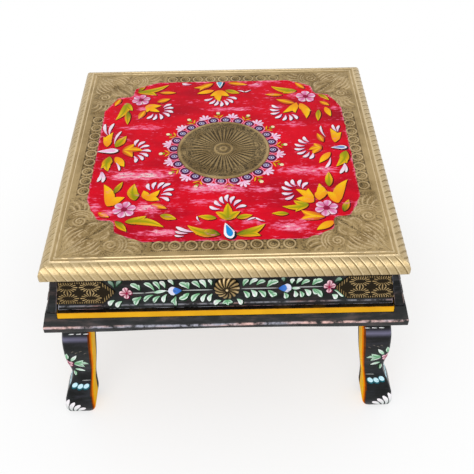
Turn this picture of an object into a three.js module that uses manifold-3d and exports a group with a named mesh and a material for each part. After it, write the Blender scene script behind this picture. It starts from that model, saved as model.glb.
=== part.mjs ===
// A low square table (bajot): a painted board with an embossed brass border and medallion, on a raked
// body with one drawer, a mitred plinth and four cabriole legs.
// Millimetres, +Z up, the front faces -Y. The origin is on the floor under the middle of the table.
import * as THREE from "three";
import { mergeVertices } from "three/addons/utils/BufferGeometryUtils.js";
import Module from "manifold-3d";

const wasm = await Module();
wasm.setup();

// Heights of the storeys, from the floor up
const legHeight = 158.5;
const plinthHeight = 27.5;
const bodyHeight = 46;
const topThickness = 18;

// Top board, its brass border and the medallion
const topSide = 380;
const edgeRun = 11.6; // the rounded upper edge, measured level
const edgeDrop = 14; // and measured down
const underRadius = 3; // the smaller rounding of the lower edge
const cornerRadius = 4;
const sheetThickness = 0.8;
const mitreGap = 0.3;
const beadInset = 13.4; // from the table's edge to the middle of the raised bead
const beadWidth = 3.4;
const beadRise = 1;
const borderWidth = 39; // from the table's edge to the straight edge of the painted field
const medallionRadius = 55.5;
const medallionSetback = 4; // the medallion sits this far behind the middle of the top
const rimInset = 2.4;
const rimWidth = 2.6;
const rimRise = 0.7;
const outerRingRadius = 10.2;
const innerRingRadius = 3.6;
const ringWidth = 1.8;

// The field's edge at a corner, from the end of one straight side to the end of the next
const fieldCuspShares = [1, 0.56];
const fieldBulgeShares = [0.975, 0.65];
const fieldLobeShares = [0.92, 0.73];
const fieldHollowShares = [0.85, 0.745];
const fieldNotchShare = 0.8;

// Plinth and the panel let into it
const plinthProud = 7.2; // the plinth reaches this far past the top
const plinthWidth = 47;
const plinthBand = 9; // the upright part of its outer face
const plinthTopInset = 5; // how far the sloping part leans in
const plinthEdgeRadius = 2;
const plinthArch = 4; // the lower edge rises this far between the legs
const ledgeWidth = 10;
const panelThickness = 10;
const railHeight = 7;
const railDepth = 10;

// Body
const bodyStep = 1.2; // the walls stand this far inside the plinth's top edge
const bodyRake = 12; // each wall leans in by this much over its height
const sideFoot = 11; // thickness of a side wall at its foot
const sideHead = 7; // and at its head
const backThickness = 10;
const guideWidth = 10;
const guideHeight = 10;

// Drawer
const frontThickness = 12;
const frontRecess = 2;
const frontReveal = 1.2;
const drawerInset = 12; // from the head of a side wall to the drawer's side
const drawerBackRoom = 9; // from the drawer's back to the head of the back wall
const sideThickness = 9;
const drawerLift = 0.5;
const guideClearance = 0.8;
const headClearance = 3;
const bottomThickness = 4;
const bottomUp = 4; // from the lower edge of a side to the groove
const grooveDepth = 4;
const backBoard = 9;
const backLower = 3; // the back stops this far below the tops of the sides

// Drawer knob and its screw
const knobRadius = 13.5;
const knobPetals = 12;
const petalDepth = 1.8;
const petalThickness = 2.6;
const petalBevel = 1;
const knobStandoff = 1.8;
const knobUp = 3; // the knob sits this far above the middle of the drawer front
const knobAside = 2; // and this far to the right of it
const knobNeckRadius = 5;
const domeRadius = 8.5;
const domeRise = 3.2;
const bossRadius = 2.4;
const screwRadius = 2;
const screwHeadRadius = 4;
const screwHeadHeight = 2.4;
const screwGrip = 5; // how far the screw reaches into the knob

// Brass corner plates on the walls and the drawer front
const plateHeight = 27;
const plateLength = 62;
const platePoint = 13; // the length of its pointed end
const plateThickness = 0.8;
const plateMargin = 0.8; // on the drawer front
const wallPlateMargin = 3; // on the walls
const plateWaistShare = 0.42; // where the pointed end turns in, as a share of the plate's half height

// Legs: square cabriole legs with round tenons
const legInset = 9.7; // from the plinth's outer face to the knee
const legWidth = 37.5; // at the top, from the inner face to the knee's line
const legSwing = 13; // how far the foot reaches past the knee's line
const legTaper = 14; // how far the inner face leans out on its way down
const tenonRadius = 9;
const tenonLength = 13;
const socketDepth = 14;

// The outer face of a leg from the floor up: share of the leg's height, share of its swing
const legOuterShares = [
  [0, 0.7],
  [0.035, 0.93],
  [0.09, 1],
  [0.16, 0.9],
  [0.24, 0.6],
  [0.31, 0.2],
  [0.37, -0.06],
  [0.44, -0.14],
  [0.53, -0.04],
  [0.63, 0.04],
  [0.76, 0],
  [0.88, -0.2],
  [1, -0.58],
];
// The inner face from the top down: share of the leg's height, share of its taper
const legInnerShares = [
  [1, 0],
  [0.75, 0.25],
  [0.5, 0.54],
  [0.28, 0.9],
  [0.17, 0.98],
  [0.08, 1.02],
  [0.025, 1.2],
  [0, 1.6],
];

// Clearances, cuts and roundness
const fitGap = 0.3;
const overrun = 5;
const arcSteps = 8;
const bumpSteps = 4;
const legSteps = 26;
const roundSteps = 24;

// Sizes that follow
const quarter = Math.PI / 2;
const plinthZ = legHeight;
const bodyZ = plinthZ + plinthHeight;
const topZ = bodyZ + bodyHeight;
const tableZ = topZ + topThickness;
const topHalf = topSide / 2;
const fieldHalf = topHalf - borderWidth;
const plinthHalf = topHalf + plinthProud;
const reach = 2 * plinthHalf; // longer than any piece
const plinthInner = plinthHalf - plinthWidth;
const plinthTopHalf = plinthHalf - plinthTopInset;
const panelHalf = plinthInner + ledgeWidth;
const wallFoot = plinthTopHalf - bodyStep;
const wallHead = wallFoot - bodyRake;
const openFoot = wallFoot - sideFoot;
const openHead = wallHead - sideHead;
const rake = Math.atan2(bodyRake, bodyHeight);
const drawerHalf = openHead - drawerInset;
const drawerBackY = wallHead - backThickness - drawerBackRoom;
const frontPerp = frontThickness * Math.cos(rake);
const frontInnerFoot = wallFoot - frontRecess - frontThickness;
const frontInnerHead = frontInnerFoot - bodyRake;
const drawerZ = bodyZ + drawerLift;
const sideTopZ = topZ - headClearance;
const bottomZ = drawerZ + bottomUp;

const share = (from, to, part) => from + (to - from) * part;
const overBody = (foot, head, z) => share(foot, head, (z - bodyZ) / bodyHeight);

// Materials
const paint = (colour, roughness) => new THREE.MeshStandardMaterial({ color: colour, roughness });
const metal = (colour, roughness) =>
  new THREE.MeshStandardMaterial({ color: colour, roughness, metalness: 1 });
const redPaint = paint(0xcf1030, 0.5);
const blackPaint = paint(0x1c1b1d, 0.5);
const yellowPaint = paint(0xe0a126, 0.5);
const bareWood = paint(0xa9825a, 0.75);
const brass = metal(0xa8894f, 0.4);
const steel = metal(0x9a9a9c, 0.35);

// Solids from geometries and back
function solid(geometry) {
  const bare = geometry.clone();
  bare.deleteAttribute("normal");
  bare.deleteAttribute("uv");
  const merged = mergeVertices(bare);
  return new wasm.Manifold(
    new wasm.Mesh({
      numProp: 3,
      vertProperties: merged.attributes.position.array,
      triVerts: new Uint32Array(merged.index.array),
    }),
  );
}

function geometryOf(body) {
  const mesh = body.getMesh();
  const geometry = new THREE.BufferGeometry();
  geometry.setAttribute("position", new THREE.BufferAttribute(mesh.vertProperties, 3));
  geometry.setIndex(new THREE.BufferAttribute(mesh.triVerts, 1));
  geometry.computeVertexNormals();
  return geometry;
}

// Extrusions of a drawn section along each axis
function extrusion(shape, length) {
  const options = { depth: length, bevelEnabled: false, curveSegments: arcSteps };
  return new THREE.ExtrudeGeometry(shape, options);
}

const X = new THREE.Vector3(1, 0, 0);
const Y = new THREE.Vector3(0, 1, 0);
const Z = new THREE.Vector3(0, 0, 1);
const sectionYZ = new THREE.Matrix4().makeBasis(Y, Z, X);
const sectionXZ = new THREE.Matrix4().makeBasis(X, Z, Y.clone().negate());

function alongX(shape, from, to) {
  return solid(extrusion(shape, to - from).translate(0, 0, from).applyMatrix4(sectionYZ));
}

function alongY(shape, from, to) {
  return solid(extrusion(shape, to - from).translate(0, 0, -to).applyMatrix4(sectionXZ));
}

function alongZ(shape, from, to) {
  return solid(extrusion(shape, to - from).translate(0, 0, from));
}

function box(from, to) {
  const size = to.map((value, axis) => value - from[axis]);
  const middle = to.map((value, axis) => (value + from[axis]) / 2);
  return solid(new THREE.BoxGeometry(...size).translate(...middle));
}

const polygon = (points) => new THREE.Shape(points.map(([a, b]) => new THREE.Vector2(a, b)));

// A pin that stands on the XY plane's point (x, y) between two heights
function pin(radius, x, y, from, to) {
  const body = new THREE.CylinderGeometry(radius, radius, to - from, roundSteps);
  return solid(body.rotateX(quarter).translate(x, y, (from + to) / 2));
}

// The wedge of the square that belongs to the front, set back from the mitres
function frontWedge() {
  const back = (mitreGap / 2) * Math.SQRT2;
  const shape = polygon([[0, -back], [-reach, -reach - back], [reach, -reach - back]]);
  return alongZ(shape, -overrun, tableZ + overrun);
}

// A four-sided section between two half widths at the foot and two at the head of the body
function rakedSection(footA, footB, headA, headB, from = bodyZ, to = topZ) {
  return polygon([
    [overBody(footA, headA, from), from],
    [overBody(footB, headB, from), from],
    [overBody(footB, headB, to), to],
    [overBody(footA, headA, to), to],
  ]);
}

// The table
const table = new THREE.Group();

function piece(name, body, material, parent = table) {
  const geometry = body.isBufferGeometry ? body : geometryOf(body);
  const mesh = new THREE.Mesh(geometry, material);
  mesh.name = name;
  parent.add(mesh);
  return mesh;
}

// A group on the outer face of a wall: x runs along the wall, y up its slope and z out of it
function onWall(turns, recess = 0) {
  const turned = new THREE.Group();
  turned.rotation.z = turns * quarter;
  const face = new THREE.Group();
  face.position.set(0, recess - (wallFoot + wallHead) / 2, bodyZ + bodyHeight / 2);
  face.rotation.x = quarter - rake;
  turned.add(face);
  table.add(turned);
  return face;
}

// Top board and brass border
function edgeSection(half, crest, run, drop, bead) {
  const shape = new THREE.Shape();
  const under = underRadius + half - topHalf;
  shape.absarc(under - half, topZ + under, under, Math.PI, 3 * quarter);
  shape.absarc(half - under, topZ + under, under, 3 * quarter, 4 * quarter);
  shape.absellipse(half - run, crest - drop, run, drop, 0, quarter);
  if (bead) {
    shape.absellipse(topHalf - beadInset, crest, beadWidth / 2, beadRise, 0, Math.PI);
    shape.absellipse(beadInset - topHalf, crest, beadWidth / 2, beadRise, 0, Math.PI);
  }
  shape.absellipse(run - half, crest - drop, run, drop, quarter, Math.PI);
  return shape;
}

function roundedSquare(half, radius) {
  const shape = new THREE.Shape();
  const straight = half - radius;
  shape.absarc(straight, straight, radius, 0, quarter);
  shape.absarc(-straight, straight, radius, quarter, Math.PI);
  shape.absarc(-straight, -straight, radius, Math.PI, 3 * quarter);
  shape.absarc(straight, -straight, radius, 3 * quarter, 4 * quarter);
  return shape;
}

function roundedBoard(inset, lowering, bead) {
  const half = topHalf - inset;
  const section = edgeSection(half, tableZ - lowering, edgeRun - inset, edgeDrop - lowering, bead);
  const plan = roundedSquare(half, cornerRadius - inset);
  return alongX(section, -half, half)
    .intersect(alongY(section, -half, half))
    .intersect(alongZ(plan, topZ - overrun, tableZ + overrun));
}

// The painted field's outline, one quarter drawn and turned four times
function fieldShape() {
  const shape = new THREE.Shape();
  const corner = [fieldCuspShares, fieldBulgeShares, fieldLobeShares, fieldHollowShares];
  const [cusp, bulge, lobe, hollow] = corner.map(([a, b]) => [a * fieldHalf, b * fieldHalf]);
  const notch = fieldNotchShare * fieldHalf;
  for (let turn = 0; turn < 4; turn += 1) {
    const at = (a, b) => {
      const point = new THREE.Vector2(a, b).rotateAround(new THREE.Vector2(), turn * quarter);
      return [point.x, point.y];
    };
    if (turn === 0) shape.moveTo(...at(...cusp));
    else shape.lineTo(...at(...cusp));
    shape.quadraticCurveTo(...at(...bulge), ...at(...lobe));
    shape.quadraticCurveTo(...at(...hollow), ...at(notch, notch));
    shape.quadraticCurveTo(...at(hollow[1], hollow[0]), ...at(lobe[1], lobe[0]));
    shape.quadraticCurveTo(...at(bulge[1], bulge[0]), ...at(cusp[1], cusp[0]));
  }
  return shape;
}

piece("top_board", roundedBoard(sheetThickness + fitGap, sheetThickness, false), redPaint);

const brassInside = roundedBoard(sheetThickness, sheetThickness, false);
const brassBelow = box([-reach, -reach, topZ - overrun], [reach, reach, topZ]);
const paintedField = alongZ(fieldShape(), topZ, tableZ + overrun);
const brassStrip = geometryOf(
  roundedBoard(0, 0, true)
    .subtract(brassInside)
    .subtract(brassBelow)
    .subtract(paintedField)
    .intersect(frontWedge()),
);
["front", "right", "back", "left"].forEach((side, turn) => {
  piece(`brass_border_${side}`, brassStrip, brass).rotation.z = turn * quarter;
});

// Medallion: a thin disc with a rolled rim and two raised rings round its middle
function medallionGeometry() {
  const points = [[0, 0], [medallionRadius, 0], [medallionRadius, sheetThickness]];
  const bump = (middle, width, rise) => {
    for (let step = 0; step <= bumpSteps; step += 1) {
      const angle = (step / bumpSteps) * Math.PI;
      points.push([middle + (width / 2) * Math.cos(angle), sheetThickness + rise * Math.sin(angle)]);
    }
  };
  bump(medallionRadius - rimInset, rimWidth, rimRise);
  bump(outerRingRadius, ringWidth, rimRise);
  bump(innerRingRadius, ringWidth, rimRise);
  points.push([0, sheetThickness]);
  const profile = points.map(([radius, height]) => new THREE.Vector2(radius, height));
  return new THREE.LatheGeometry(profile, 2 * roundSteps).rotateX(quarter);
}

const medallion = piece("brass_medallion", solid(medallionGeometry()), brass);
medallion.position.set(0, medallionSetback, tableZ - sheetThickness);

// Plinth: four mitred mouldings, the panel in their rebate and the rail under the drawer
function plinthSection() {
  const shape = new THREE.Shape();
  const middle = plinthEdgeRadius - plinthHalf;
  shape.moveTo(-plinthInner, plinthZ);
  shape.lineTo(-plinthInner, bodyZ - panelThickness);
  shape.lineTo(-panelHalf, bodyZ - panelThickness);
  shape.lineTo(-panelHalf, bodyZ);
  shape.lineTo(-plinthTopHalf, bodyZ);
  shape.lineTo(-plinthHalf, plinthZ + plinthBand);
  shape.absarc(middle, plinthZ + plinthEdgeRadius, plinthEdgeRadius, Math.PI, 3 * quarter);
  return shape;
}

const legInner = plinthHalf - legInset - legWidth;
const legTopOuter = legInner + legWidth + legSwing * legOuterShares.at(-1)[1];
const legAxis = (legInner + legTopOuter) / 2;

const sockets = [-legAxis, legAxis]
  .map((x) => pin(tenonRadius + fitGap, x, -legAxis, plinthZ - overrun, plinthZ + socketDepth))
  .reduce((a, b) => a.add(b));
const arch = new THREE.Shape();
arch.moveTo(-legInner, plinthZ - overrun);
arch.lineTo(legInner, plinthZ - overrun);
arch.lineTo(legInner, plinthZ);
arch.quadraticCurveTo(0, plinthZ + 2 * plinthArch, -legInner, plinthZ);
const moulding = alongX(plinthSection(), -reach, reach)
  .intersect(frontWedge())
  .subtract(sockets)
  .subtract(alongY(arch, -reach, reach));

const railRoom = (gap) =>
  box(
    [gap - openFoot, -reach, bodyZ - railHeight + gap],
    [openFoot - gap, railDepth - plinthTopHalf - gap, bodyZ + overrun],
  );
piece("plinth_front", moulding.subtract(railRoom(0)), blackPaint);
const mouldingGeometry = geometryOf(moulding);
["right", "back", "left"].forEach((side, index) => {
  piece(`plinth_${side}`, mouldingGeometry, blackPaint).rotation.z = (index + 1) * quarter;
});
piece("front_rail", moulding.intersect(railRoom(fitGap)), yellowPaint);

const panelEdge = panelHalf - fitGap;
const basePanel = box([-panelEdge, -panelEdge, bodyZ - panelThickness], [panelEdge, panelEdge, bodyZ]);
piece("base_panel", basePanel, bareWood);

// Body walls: the side walls run from front to back, and the back wall stands between them
const envelope = alongX(rakedSection(-wallFoot, wallFoot, -wallHead, wallHead), -reach, reach);
const sideWall = geometryOf(
  alongY(rakedSection(openFoot, wallFoot, openHead, wallHead), -reach, reach).intersect(envelope),
);
piece("side_wall_right", sideWall, blackPaint);
piece("side_wall_left", sideWall, blackPaint).rotation.z = 2 * quarter;

const betweenSides = (gap) =>
  alongY(rakedSection(gap - openFoot, openFoot - gap, gap - openHead, openHead - gap), -reach, reach);
const backSection = rakedSection(wallFoot - backThickness, wallFoot, wallHead - backThickness, wallHead);
piece("back_wall", alongX(backSection, -reach, reach).intersect(betweenSides(fitGap)), blackPaint);

// Drawer guides: strips on the plinth; their front ends stop the drawer front
const guideInner = drawerHalf + guideClearance;
const guideFront = fitGap - overBody(frontInnerFoot, frontInnerHead, bodyZ + guideHeight);
const guideBack = wallFoot - backThickness - overBody(0, bodyRake, bodyZ + guideHeight) - fitGap;
const guide = geometryOf(
  box([guideInner, guideFront, bodyZ], [guideInner + guideWidth, guideBack, bodyZ + guideHeight]),
);
piece("drawer_guide_right", guide, bareWood);
const mirrored = guide.clone().translate(-2 * guideInner - guideWidth, 0, 0);
piece("drawer_guide_left", mirrored, bareWood);

// Drawer front, bored for the knob's screw
const drawerFace = onWall(0, frontRecess);
const knobSeat = new THREE.Group();
knobSeat.position.set(knobAside, knobUp, 0);
drawerFace.add(knobSeat);
table.updateMatrixWorld(true);

const frontSection = rakedSection(
  frontRecess - wallFoot,
  -frontInnerFoot,
  frontRecess - wallHead,
  -frontInnerHead,
  bodyZ + frontReveal,
  topZ - frontReveal,
);
const screwBore = solid(
  geometryOf(pin(screwRadius + fitGap, 0, 0, -frontPerp - overrun, overrun)).applyMatrix4(
    knobSeat.matrixWorld,
  ),
);
piece(
  "drawer_front",
  alongX(frontSection, -reach, reach).intersect(betweenSides(frontReveal)).subtract(screwBore),
  blackPaint,
);

// Drawer box: sides with a groove, a back between them and a bottom that slides in under the back
const behindFront = rakedSection(
  fitGap - frontInnerFoot,
  drawerBackY,
  fitGap - frontInnerHead,
  drawerBackY,
  drawerZ,
  sideTopZ,
);
const groove = (gap) =>
  box(
    [gap - drawerHalf + sideThickness - grooveDepth, -reach, bottomZ + gap / 2],
    [drawerHalf - sideThickness + grooveDepth - gap, reach, bottomZ + bottomThickness - gap / 2],
  );
const drawerSides = alongX(behindFront, drawerHalf - sideThickness, drawerHalf).subtract(groove(0));
piece("drawer_side_right", drawerSides, bareWood);
const leftSide = alongX(behindFront, -drawerHalf, sideThickness - drawerHalf).subtract(groove(0));
piece("drawer_side_left", leftSide, bareWood);

const betweenBoxSides = drawerHalf - sideThickness - fitGap;
const backFrom = [-betweenBoxSides, drawerBackY - backBoard, bottomZ + bottomThickness];
const backTo = [betweenBoxSides, drawerBackY, sideTopZ - backLower];
piece("drawer_back", box(backFrom, backTo), bareWood);
piece("drawer_bottom", alongX(behindFront, -reach, reach).intersect(groove(fitGap)), bareWood);

// Knob: a fluted flower with a domed middle, on a neck; its screw comes through the drawer front
function flowerShape(radius, petals, depth) {
  const shape = new THREE.Shape();
  const steps = petals * bumpSteps;
  for (let step = 0; step < steps; step += 1) {
    const angle = (step / steps) * 2 * Math.PI;
    const wave = radius - depth * (1 - Math.abs(Math.cos((petals * angle) / 2)));
    const point = [wave * Math.cos(angle), wave * Math.sin(angle)];
    if (step === 0) shape.moveTo(...point);
    else shape.lineTo(...point);
  }
  return shape;
}

const flower = new THREE.ExtrudeGeometry(flowerShape(knobRadius - petalBevel, knobPetals, petalDepth), {
  depth: petalThickness - petalBevel,
  bevelThickness: petalBevel,
  bevelSize: petalBevel,
  bevelSegments: 2,
});
const flowerTop = knobStandoff + petalThickness + petalBevel;
const dome = new THREE.SphereGeometry(1, roundSteps, roundSteps / 2)
  .scale(domeRadius, domeRadius, domeRise)
  .translate(0, 0, flowerTop - petalBevel);
const boss = new THREE.SphereGeometry(bossRadius, roundSteps / 2, roundSteps / 4)
  .translate(0, 0, flowerTop - petalBevel + domeRise);
const knobHole = pin(screwRadius + fitGap, 0, 0, -overrun, screwGrip + fitGap);
const knob = solid(flower.translate(0, 0, knobStandoff + petalBevel))
  .add(pin(knobNeckRadius, 0, 0, fitGap, flowerTop - petalBevel))
  .add(solid(dome))
  .add(solid(boss))
  .subtract(knobHole);
piece("drawer_knob", knob, brass, knobSeat);

const screwHead = pin(screwHeadRadius, 0, 0, -frontPerp - screwHeadHeight, -frontPerp - fitGap);
const screw = pin(screwRadius, 0, 0, -frontPerp - screwHeadHeight / 2, screwGrip).add(screwHead);
piece("knob_screw", screw, steel, knobSeat);

// Corner plates: one end follows the wall's corner, the other ends in a point
function plateGeometry(end, lean, side) {
  const half = plateHeight / 2;
  const tip = end - plateLength;
  const shoulder = tip + platePoint;
  const waist = half * plateWaistShare;
  const shape = new THREE.Shape();
  shape.moveTo(side * (end + lean * half), -half);
  shape.lineTo(side * (end - lean * half), half);
  shape.lineTo(side * shoulder, half);
  shape.quadraticCurveTo(side * shoulder, waist, side * tip, 0);
  shape.quadraticCurveTo(side * shoulder, -waist, side * shoulder, -half);
  shape.closePath();
  return extrusion(shape, plateThickness).translate(0, 0, fitGap);
}

const wallLean = Math.sin(rake);
const openLean = ((openFoot - openHead) / bodyHeight) * Math.cos(rake);
const openEnd = (openFoot + openHead) / 2 - frontReveal - plateMargin;
const wallEnd = (wallFoot + wallHead) / 2 - wallPlateMargin;
const platePair = (group, end, lean, minusName, plusName) => {
  piece(minusName, solid(plateGeometry(end, lean, -1)), brass, group);
  piece(plusName, solid(plateGeometry(end, lean, 1)), brass, group);
};
platePair(drawerFace, openEnd, openLean, "drawer_plate_left", "drawer_plate_right");
platePair(onWall(1), wallEnd, wallLean, "right_plate_front", "right_plate_back");
platePair(onWall(2), wallEnd, wallLean, "back_plate_right", "back_plate_left");
platePair(onWall(-1), wallEnd, wallLean, "left_plate_back", "left_plate_front");

// Legs: the same curved outline seen from the front and from the side, and a tenon on top
function legShape() {
  const kneeLine = legInner + legWidth;
  const outer = legOuterShares.map(([up, swing]) => [kneeLine + legSwing * swing, legHeight * up]);
  const inner = legInnerShares.map(([up, taper]) => [legInner + legTaper * taper, legHeight * up]);
  const curve = (points) => {
    const spline = new THREE.SplineCurve(points.map(([a, b]) => new THREE.Vector2(a, b)));
    return spline.getPoints(legSteps);
  };
  return new THREE.Shape([...curve(outer), ...curve(inner)]);
}

const tenon = pin(tenonRadius, legAxis, legAxis, plinthZ - overrun, plinthZ + tenonLength);
const leg = geometryOf(
  alongX(legShape(), 0, reach).intersect(alongY(legShape(), 0, reach)).add(tenon),
);
["back_right", "back_left", "front_left", "front_right"].forEach((corner, turn) => {
  piece(`leg_${corner}`, leg, blackPaint).rotation.z = turn * quarter;
});

export default table;
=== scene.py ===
# %% [markdown]
# # A painted bajot, a low table with one drawer
#
# The table is a wooden box on four cabriole legs. Its top is edged with embossed brass sheet and painted
# crimson, with a brass medallion in the middle. The body, the drawer front and the legs are painted black,
# with a folk vine in green and white, and brass corner plates. Everything below is built round the packed
# construction model, in the same place and at the same size.

# %% Load the construction model
import math
import random

import bmesh
import bpy
import numpy as np
from mathutils import Matrix, Vector


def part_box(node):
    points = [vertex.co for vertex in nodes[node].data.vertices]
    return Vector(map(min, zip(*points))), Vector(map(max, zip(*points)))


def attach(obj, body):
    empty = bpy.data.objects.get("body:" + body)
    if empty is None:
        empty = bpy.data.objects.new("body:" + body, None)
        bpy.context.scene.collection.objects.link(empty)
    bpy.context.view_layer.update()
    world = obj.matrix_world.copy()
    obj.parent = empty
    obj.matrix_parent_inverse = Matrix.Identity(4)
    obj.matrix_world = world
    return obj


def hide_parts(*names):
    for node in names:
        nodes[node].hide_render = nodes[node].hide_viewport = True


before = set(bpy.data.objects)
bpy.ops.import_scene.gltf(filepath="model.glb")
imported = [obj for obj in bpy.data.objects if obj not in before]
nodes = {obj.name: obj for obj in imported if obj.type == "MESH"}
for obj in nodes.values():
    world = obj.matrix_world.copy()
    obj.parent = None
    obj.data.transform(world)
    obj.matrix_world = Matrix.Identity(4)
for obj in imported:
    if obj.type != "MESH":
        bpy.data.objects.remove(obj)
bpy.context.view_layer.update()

print("nodes in the frame:", len(nodes))

# %% [markdown]
# Lengths are written in millimetres, as a joiner would, and a finished mesh is scaled to metres once.
# The main sizes come from the frame itself: half the width of the top, the heights of its edge and of the
# painted field.

# %% Main sizes in millimetres
MM = 0.001
TURN = 2 * math.pi
QUARTER = math.pi / 2


def span(node):
    """Lowest and highest corner of a node of the frame, in millimetres."""
    low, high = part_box(node)
    return low / MM, high / MM


border_low, border_high = span("brass_border_front")
medallion_low, medallion_high = span("brass_medallion")
FRAME_BEAD = 0.99
BEAD_RISE = 0.98
EDGE_RUN = 11.6
EDGE_DROP = 14
UNDER_RADIUS = 3
CORNER_RADIUS = 4
BORDER_WIDTH = 39
TOP_HALF = -border_low.y
TOP_UNDER = border_low.z
TABLE_Z = border_high.z - FRAME_BEAD
FIELD_Z = span("top_board")[1].z
FLAT_HALF = TOP_HALF - EDGE_RUN
FIELD_HALF = TOP_HALF - BORDER_WIDTH
MEDALLION_RADIUS = medallion_high.x
MEDALLION_Y = (medallion_low.y + medallion_high.y) / 2
print("top half", round(TOP_HALF, 2), "top", round(TABLE_Z, 2), "field", round(FIELD_Z, 2))

# %% [markdown]
# ## Colours
#
# Paint colours are read off the object as plain screen values, and turned into the linear values that a
# shader mixes.

# %% Colours


def tone(red, green, blue):
    """A colour from 0 to 255 as linear red, green, blue and alpha."""
    linear = [((c / 255 + 0.055) / 1.055) ** 2.4 if c > 10 else c / 255 / 12.92 for c in (red, green, blue)]
    return (*linear, 1.0)


CRIMSON = tone(224, 3, 34)
DEEP_CRIMSON = tone(174, 0, 30)
RUBBED_PINK = tone(242, 112, 150)
CHALK = tone(236, 216, 212)
SPECK = tone(70, 30, 34)
OUTLINE = tone(84, 10, 14)
LEAF_YELLOW = tone(252, 204, 22)
LEAF_ORANGE = tone(246, 152, 24)
RUST = tone(205, 84, 26)
OLIVE = tone(146, 148, 10)
DEEP_GREEN = tone(62, 92, 22)
SKY = tone(20, 140, 214)
BUD_BLUE = tone(50, 100, 186)
PAINT_WHITE = tone(246, 242, 246)
LILAC = tone(244, 192, 226)
MAROON = tone(150, 18, 62)
WINE = tone(108, 6, 54)
VINE_GREEN = tone(74, 146, 96)
MINT = tone(170, 214, 184)
VINE_SHADE = tone(10, 46, 22)
STEM_GREY = tone(168, 172, 170)
DOT_BLUE = tone(196, 232, 242)
DOT_SHADE = tone(20, 92, 104)
ROSE = tone(238, 204, 214)
print("paint colours are named; crimson is", [round(c, 3) for c in CRIMSON])

# %% [markdown]
# ## Building materials from nodes
#
# Every finish here is procedural. A few short helpers keep the node trees readable: one adds a node, others
# do arithmetic, blend colours, stretch the object's own coordinates and draw noise on them.

# %% Helpers for node trees
EVEN = (1, 1, 1)


def put(tree, socket, value):
    """Links value if it is a socket, and sets it as the socket's own value if it isn't."""
    if isinstance(value, bpy.types.NodeSocket):
        tree.links.new(value, socket)
    else:
        socket.default_value = value


def put_all(tree, sockets, values):
    for name, value in values.items():
        put(tree, sockets[name], value)


def add(tree, kind, inputs, **settings):
    node = tree.nodes.new("ShaderNode" + kind)
    for name, value in settings.items():
        setattr(node, name, value)
    put_all(tree, node.inputs, inputs)
    return node


def maths(tree, operation, first, second=0.0, clamp=False):
    return add(tree, "Math", {0: first, 1: second}, operation=operation, use_clamp=clamp).outputs[0]


def plus(tree, first, second):
    return maths(tree, "ADD", first, second)


def times(tree, first, second):
    return maths(tree, "MULTIPLY", first, second)


def blend(tree, factor, first, second, mode="MIX"):
    return add(tree, "Mix", {0: factor, 6: first, 7: second}, data_type="RGBA", blend_type=mode).outputs[2]


def ease(tree, value, low, high, start=0.0, end=1.0):
    """Turns the range low to high into start to end, smoothly."""
    inputs = {"Value": value, "From Min": low, "From Max": high, "To Min": start, "To Max": end}
    return add(tree, "MapRange", inputs, interpolation_type="SMOOTHSTEP").outputs[0]


def own_place(tree):
    return add(tree, "TexCoord", {}).outputs["Object"]


def place(tree, stretch=EVEN):
    """The object's own coordinates in metres, stretched along its axes."""
    return add(tree, "Mapping", {"Vector": own_place(tree), "Scale": stretch}).outputs[0]


def noise(tree, stretch, scale, detail=3.0, roughness=0.55):
    """Noise on the object's own coordinates: stretch is three numbers, or a socket with the coordinates."""
    vector = stretch if isinstance(stretch, bpy.types.NodeSocket) else place(tree, stretch)
    inputs = {"Vector": vector, "Scale": scale, "Detail": detail, "Roughness": roughness}
    return add(tree, "TexNoise", inputs).outputs["Fac"]


def mark(tree, name, output="Fac"):
    """A value or colour that the mesh itself carries."""
    return add(tree, "Attribute", {}, attribute_name=name).outputs[output]


def bump(tree, height, distance, strength=1.0):
    inputs = {"Height": height, "Distance": distance, "Strength": strength}
    return add(tree, "Bump", inputs).outputs["Normal"]


def new_group(name, inputs, outputs):
    """A node group with named sockets: inputs and outputs give the kind of each."""
    tree = bpy.data.node_groups.new(name, "ShaderNodeTree")
    for in_out, sockets in (("INPUT", inputs), ("OUTPUT", outputs)):
        for label, kind in sockets.items():
            tree.interface.new_socket(label, in_out=in_out, socket_type="NodeSocket" + kind)
    entry = tree.nodes.new("NodeGroupInput")
    leave = tree.nodes.new("NodeGroupOutput")
    return tree, entry.outputs, leave.inputs


def use(tree, group, inputs):
    return add(tree, "Group", inputs, node_tree=group).outputs


def new_material(name):
    """A material with a Principled shader: its node tree and that shader's sockets."""
    material = bpy.data.materials.new(name)
    material.use_nodes = True
    tree = material.node_tree
    tree.nodes.clear()
    shader = add(tree, "BsdfPrincipled", {})
    add(tree, "OutputMaterial", {"Surface": shader.outputs["BSDF"]})
    return material, tree, shader.inputs


print("node helpers ready")

# %% [markdown]
# ## Shared effects
#
# Hand-laid paint is never even: the brush leaves fine ridges and thin and thick places. And the whole table
# has been used, so its paint is rubbed through in long streaks, where pale pink ground shows, and scuffed
# along the edges. These effects appear in several materials, so each is a node group, and so are the grain
# of the wood and the patina of the brass.

# %% Node group: brush marks in hand-laid paint


def brushed_group():
    sockets = {"Paint": "Color", "Depth": "Float"}
    tree, given, result = new_group("brushed paint", sockets, {"Color": "Color", "Height": "Float"})
    bristle = noise(tree, (0.12, 1, 1), 900, 3)
    cloud = noise(tree, EVEN, 42, 4)
    darker = blend(tree, 1.0, given["Paint"], (0.62, 0.56, 0.58, 1), "MULTIPLY")
    amount = times(tree, given["Depth"], ease(tree, cloud, 0.3, 0.7))
    toned = blend(tree, amount, given["Paint"], darker)
    lines = times(tree, given["Depth"], ease(tree, bristle, 0.5, 0.8, 0, 0.55))
    put_all(tree, result, {"Color": blend(tree, lines, toned, darker), "Height": plus(tree, bristle, cloud)})
    return tree


BRUSHED = brushed_group()

# %% Node group: paint rubbed through in streaks


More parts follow.
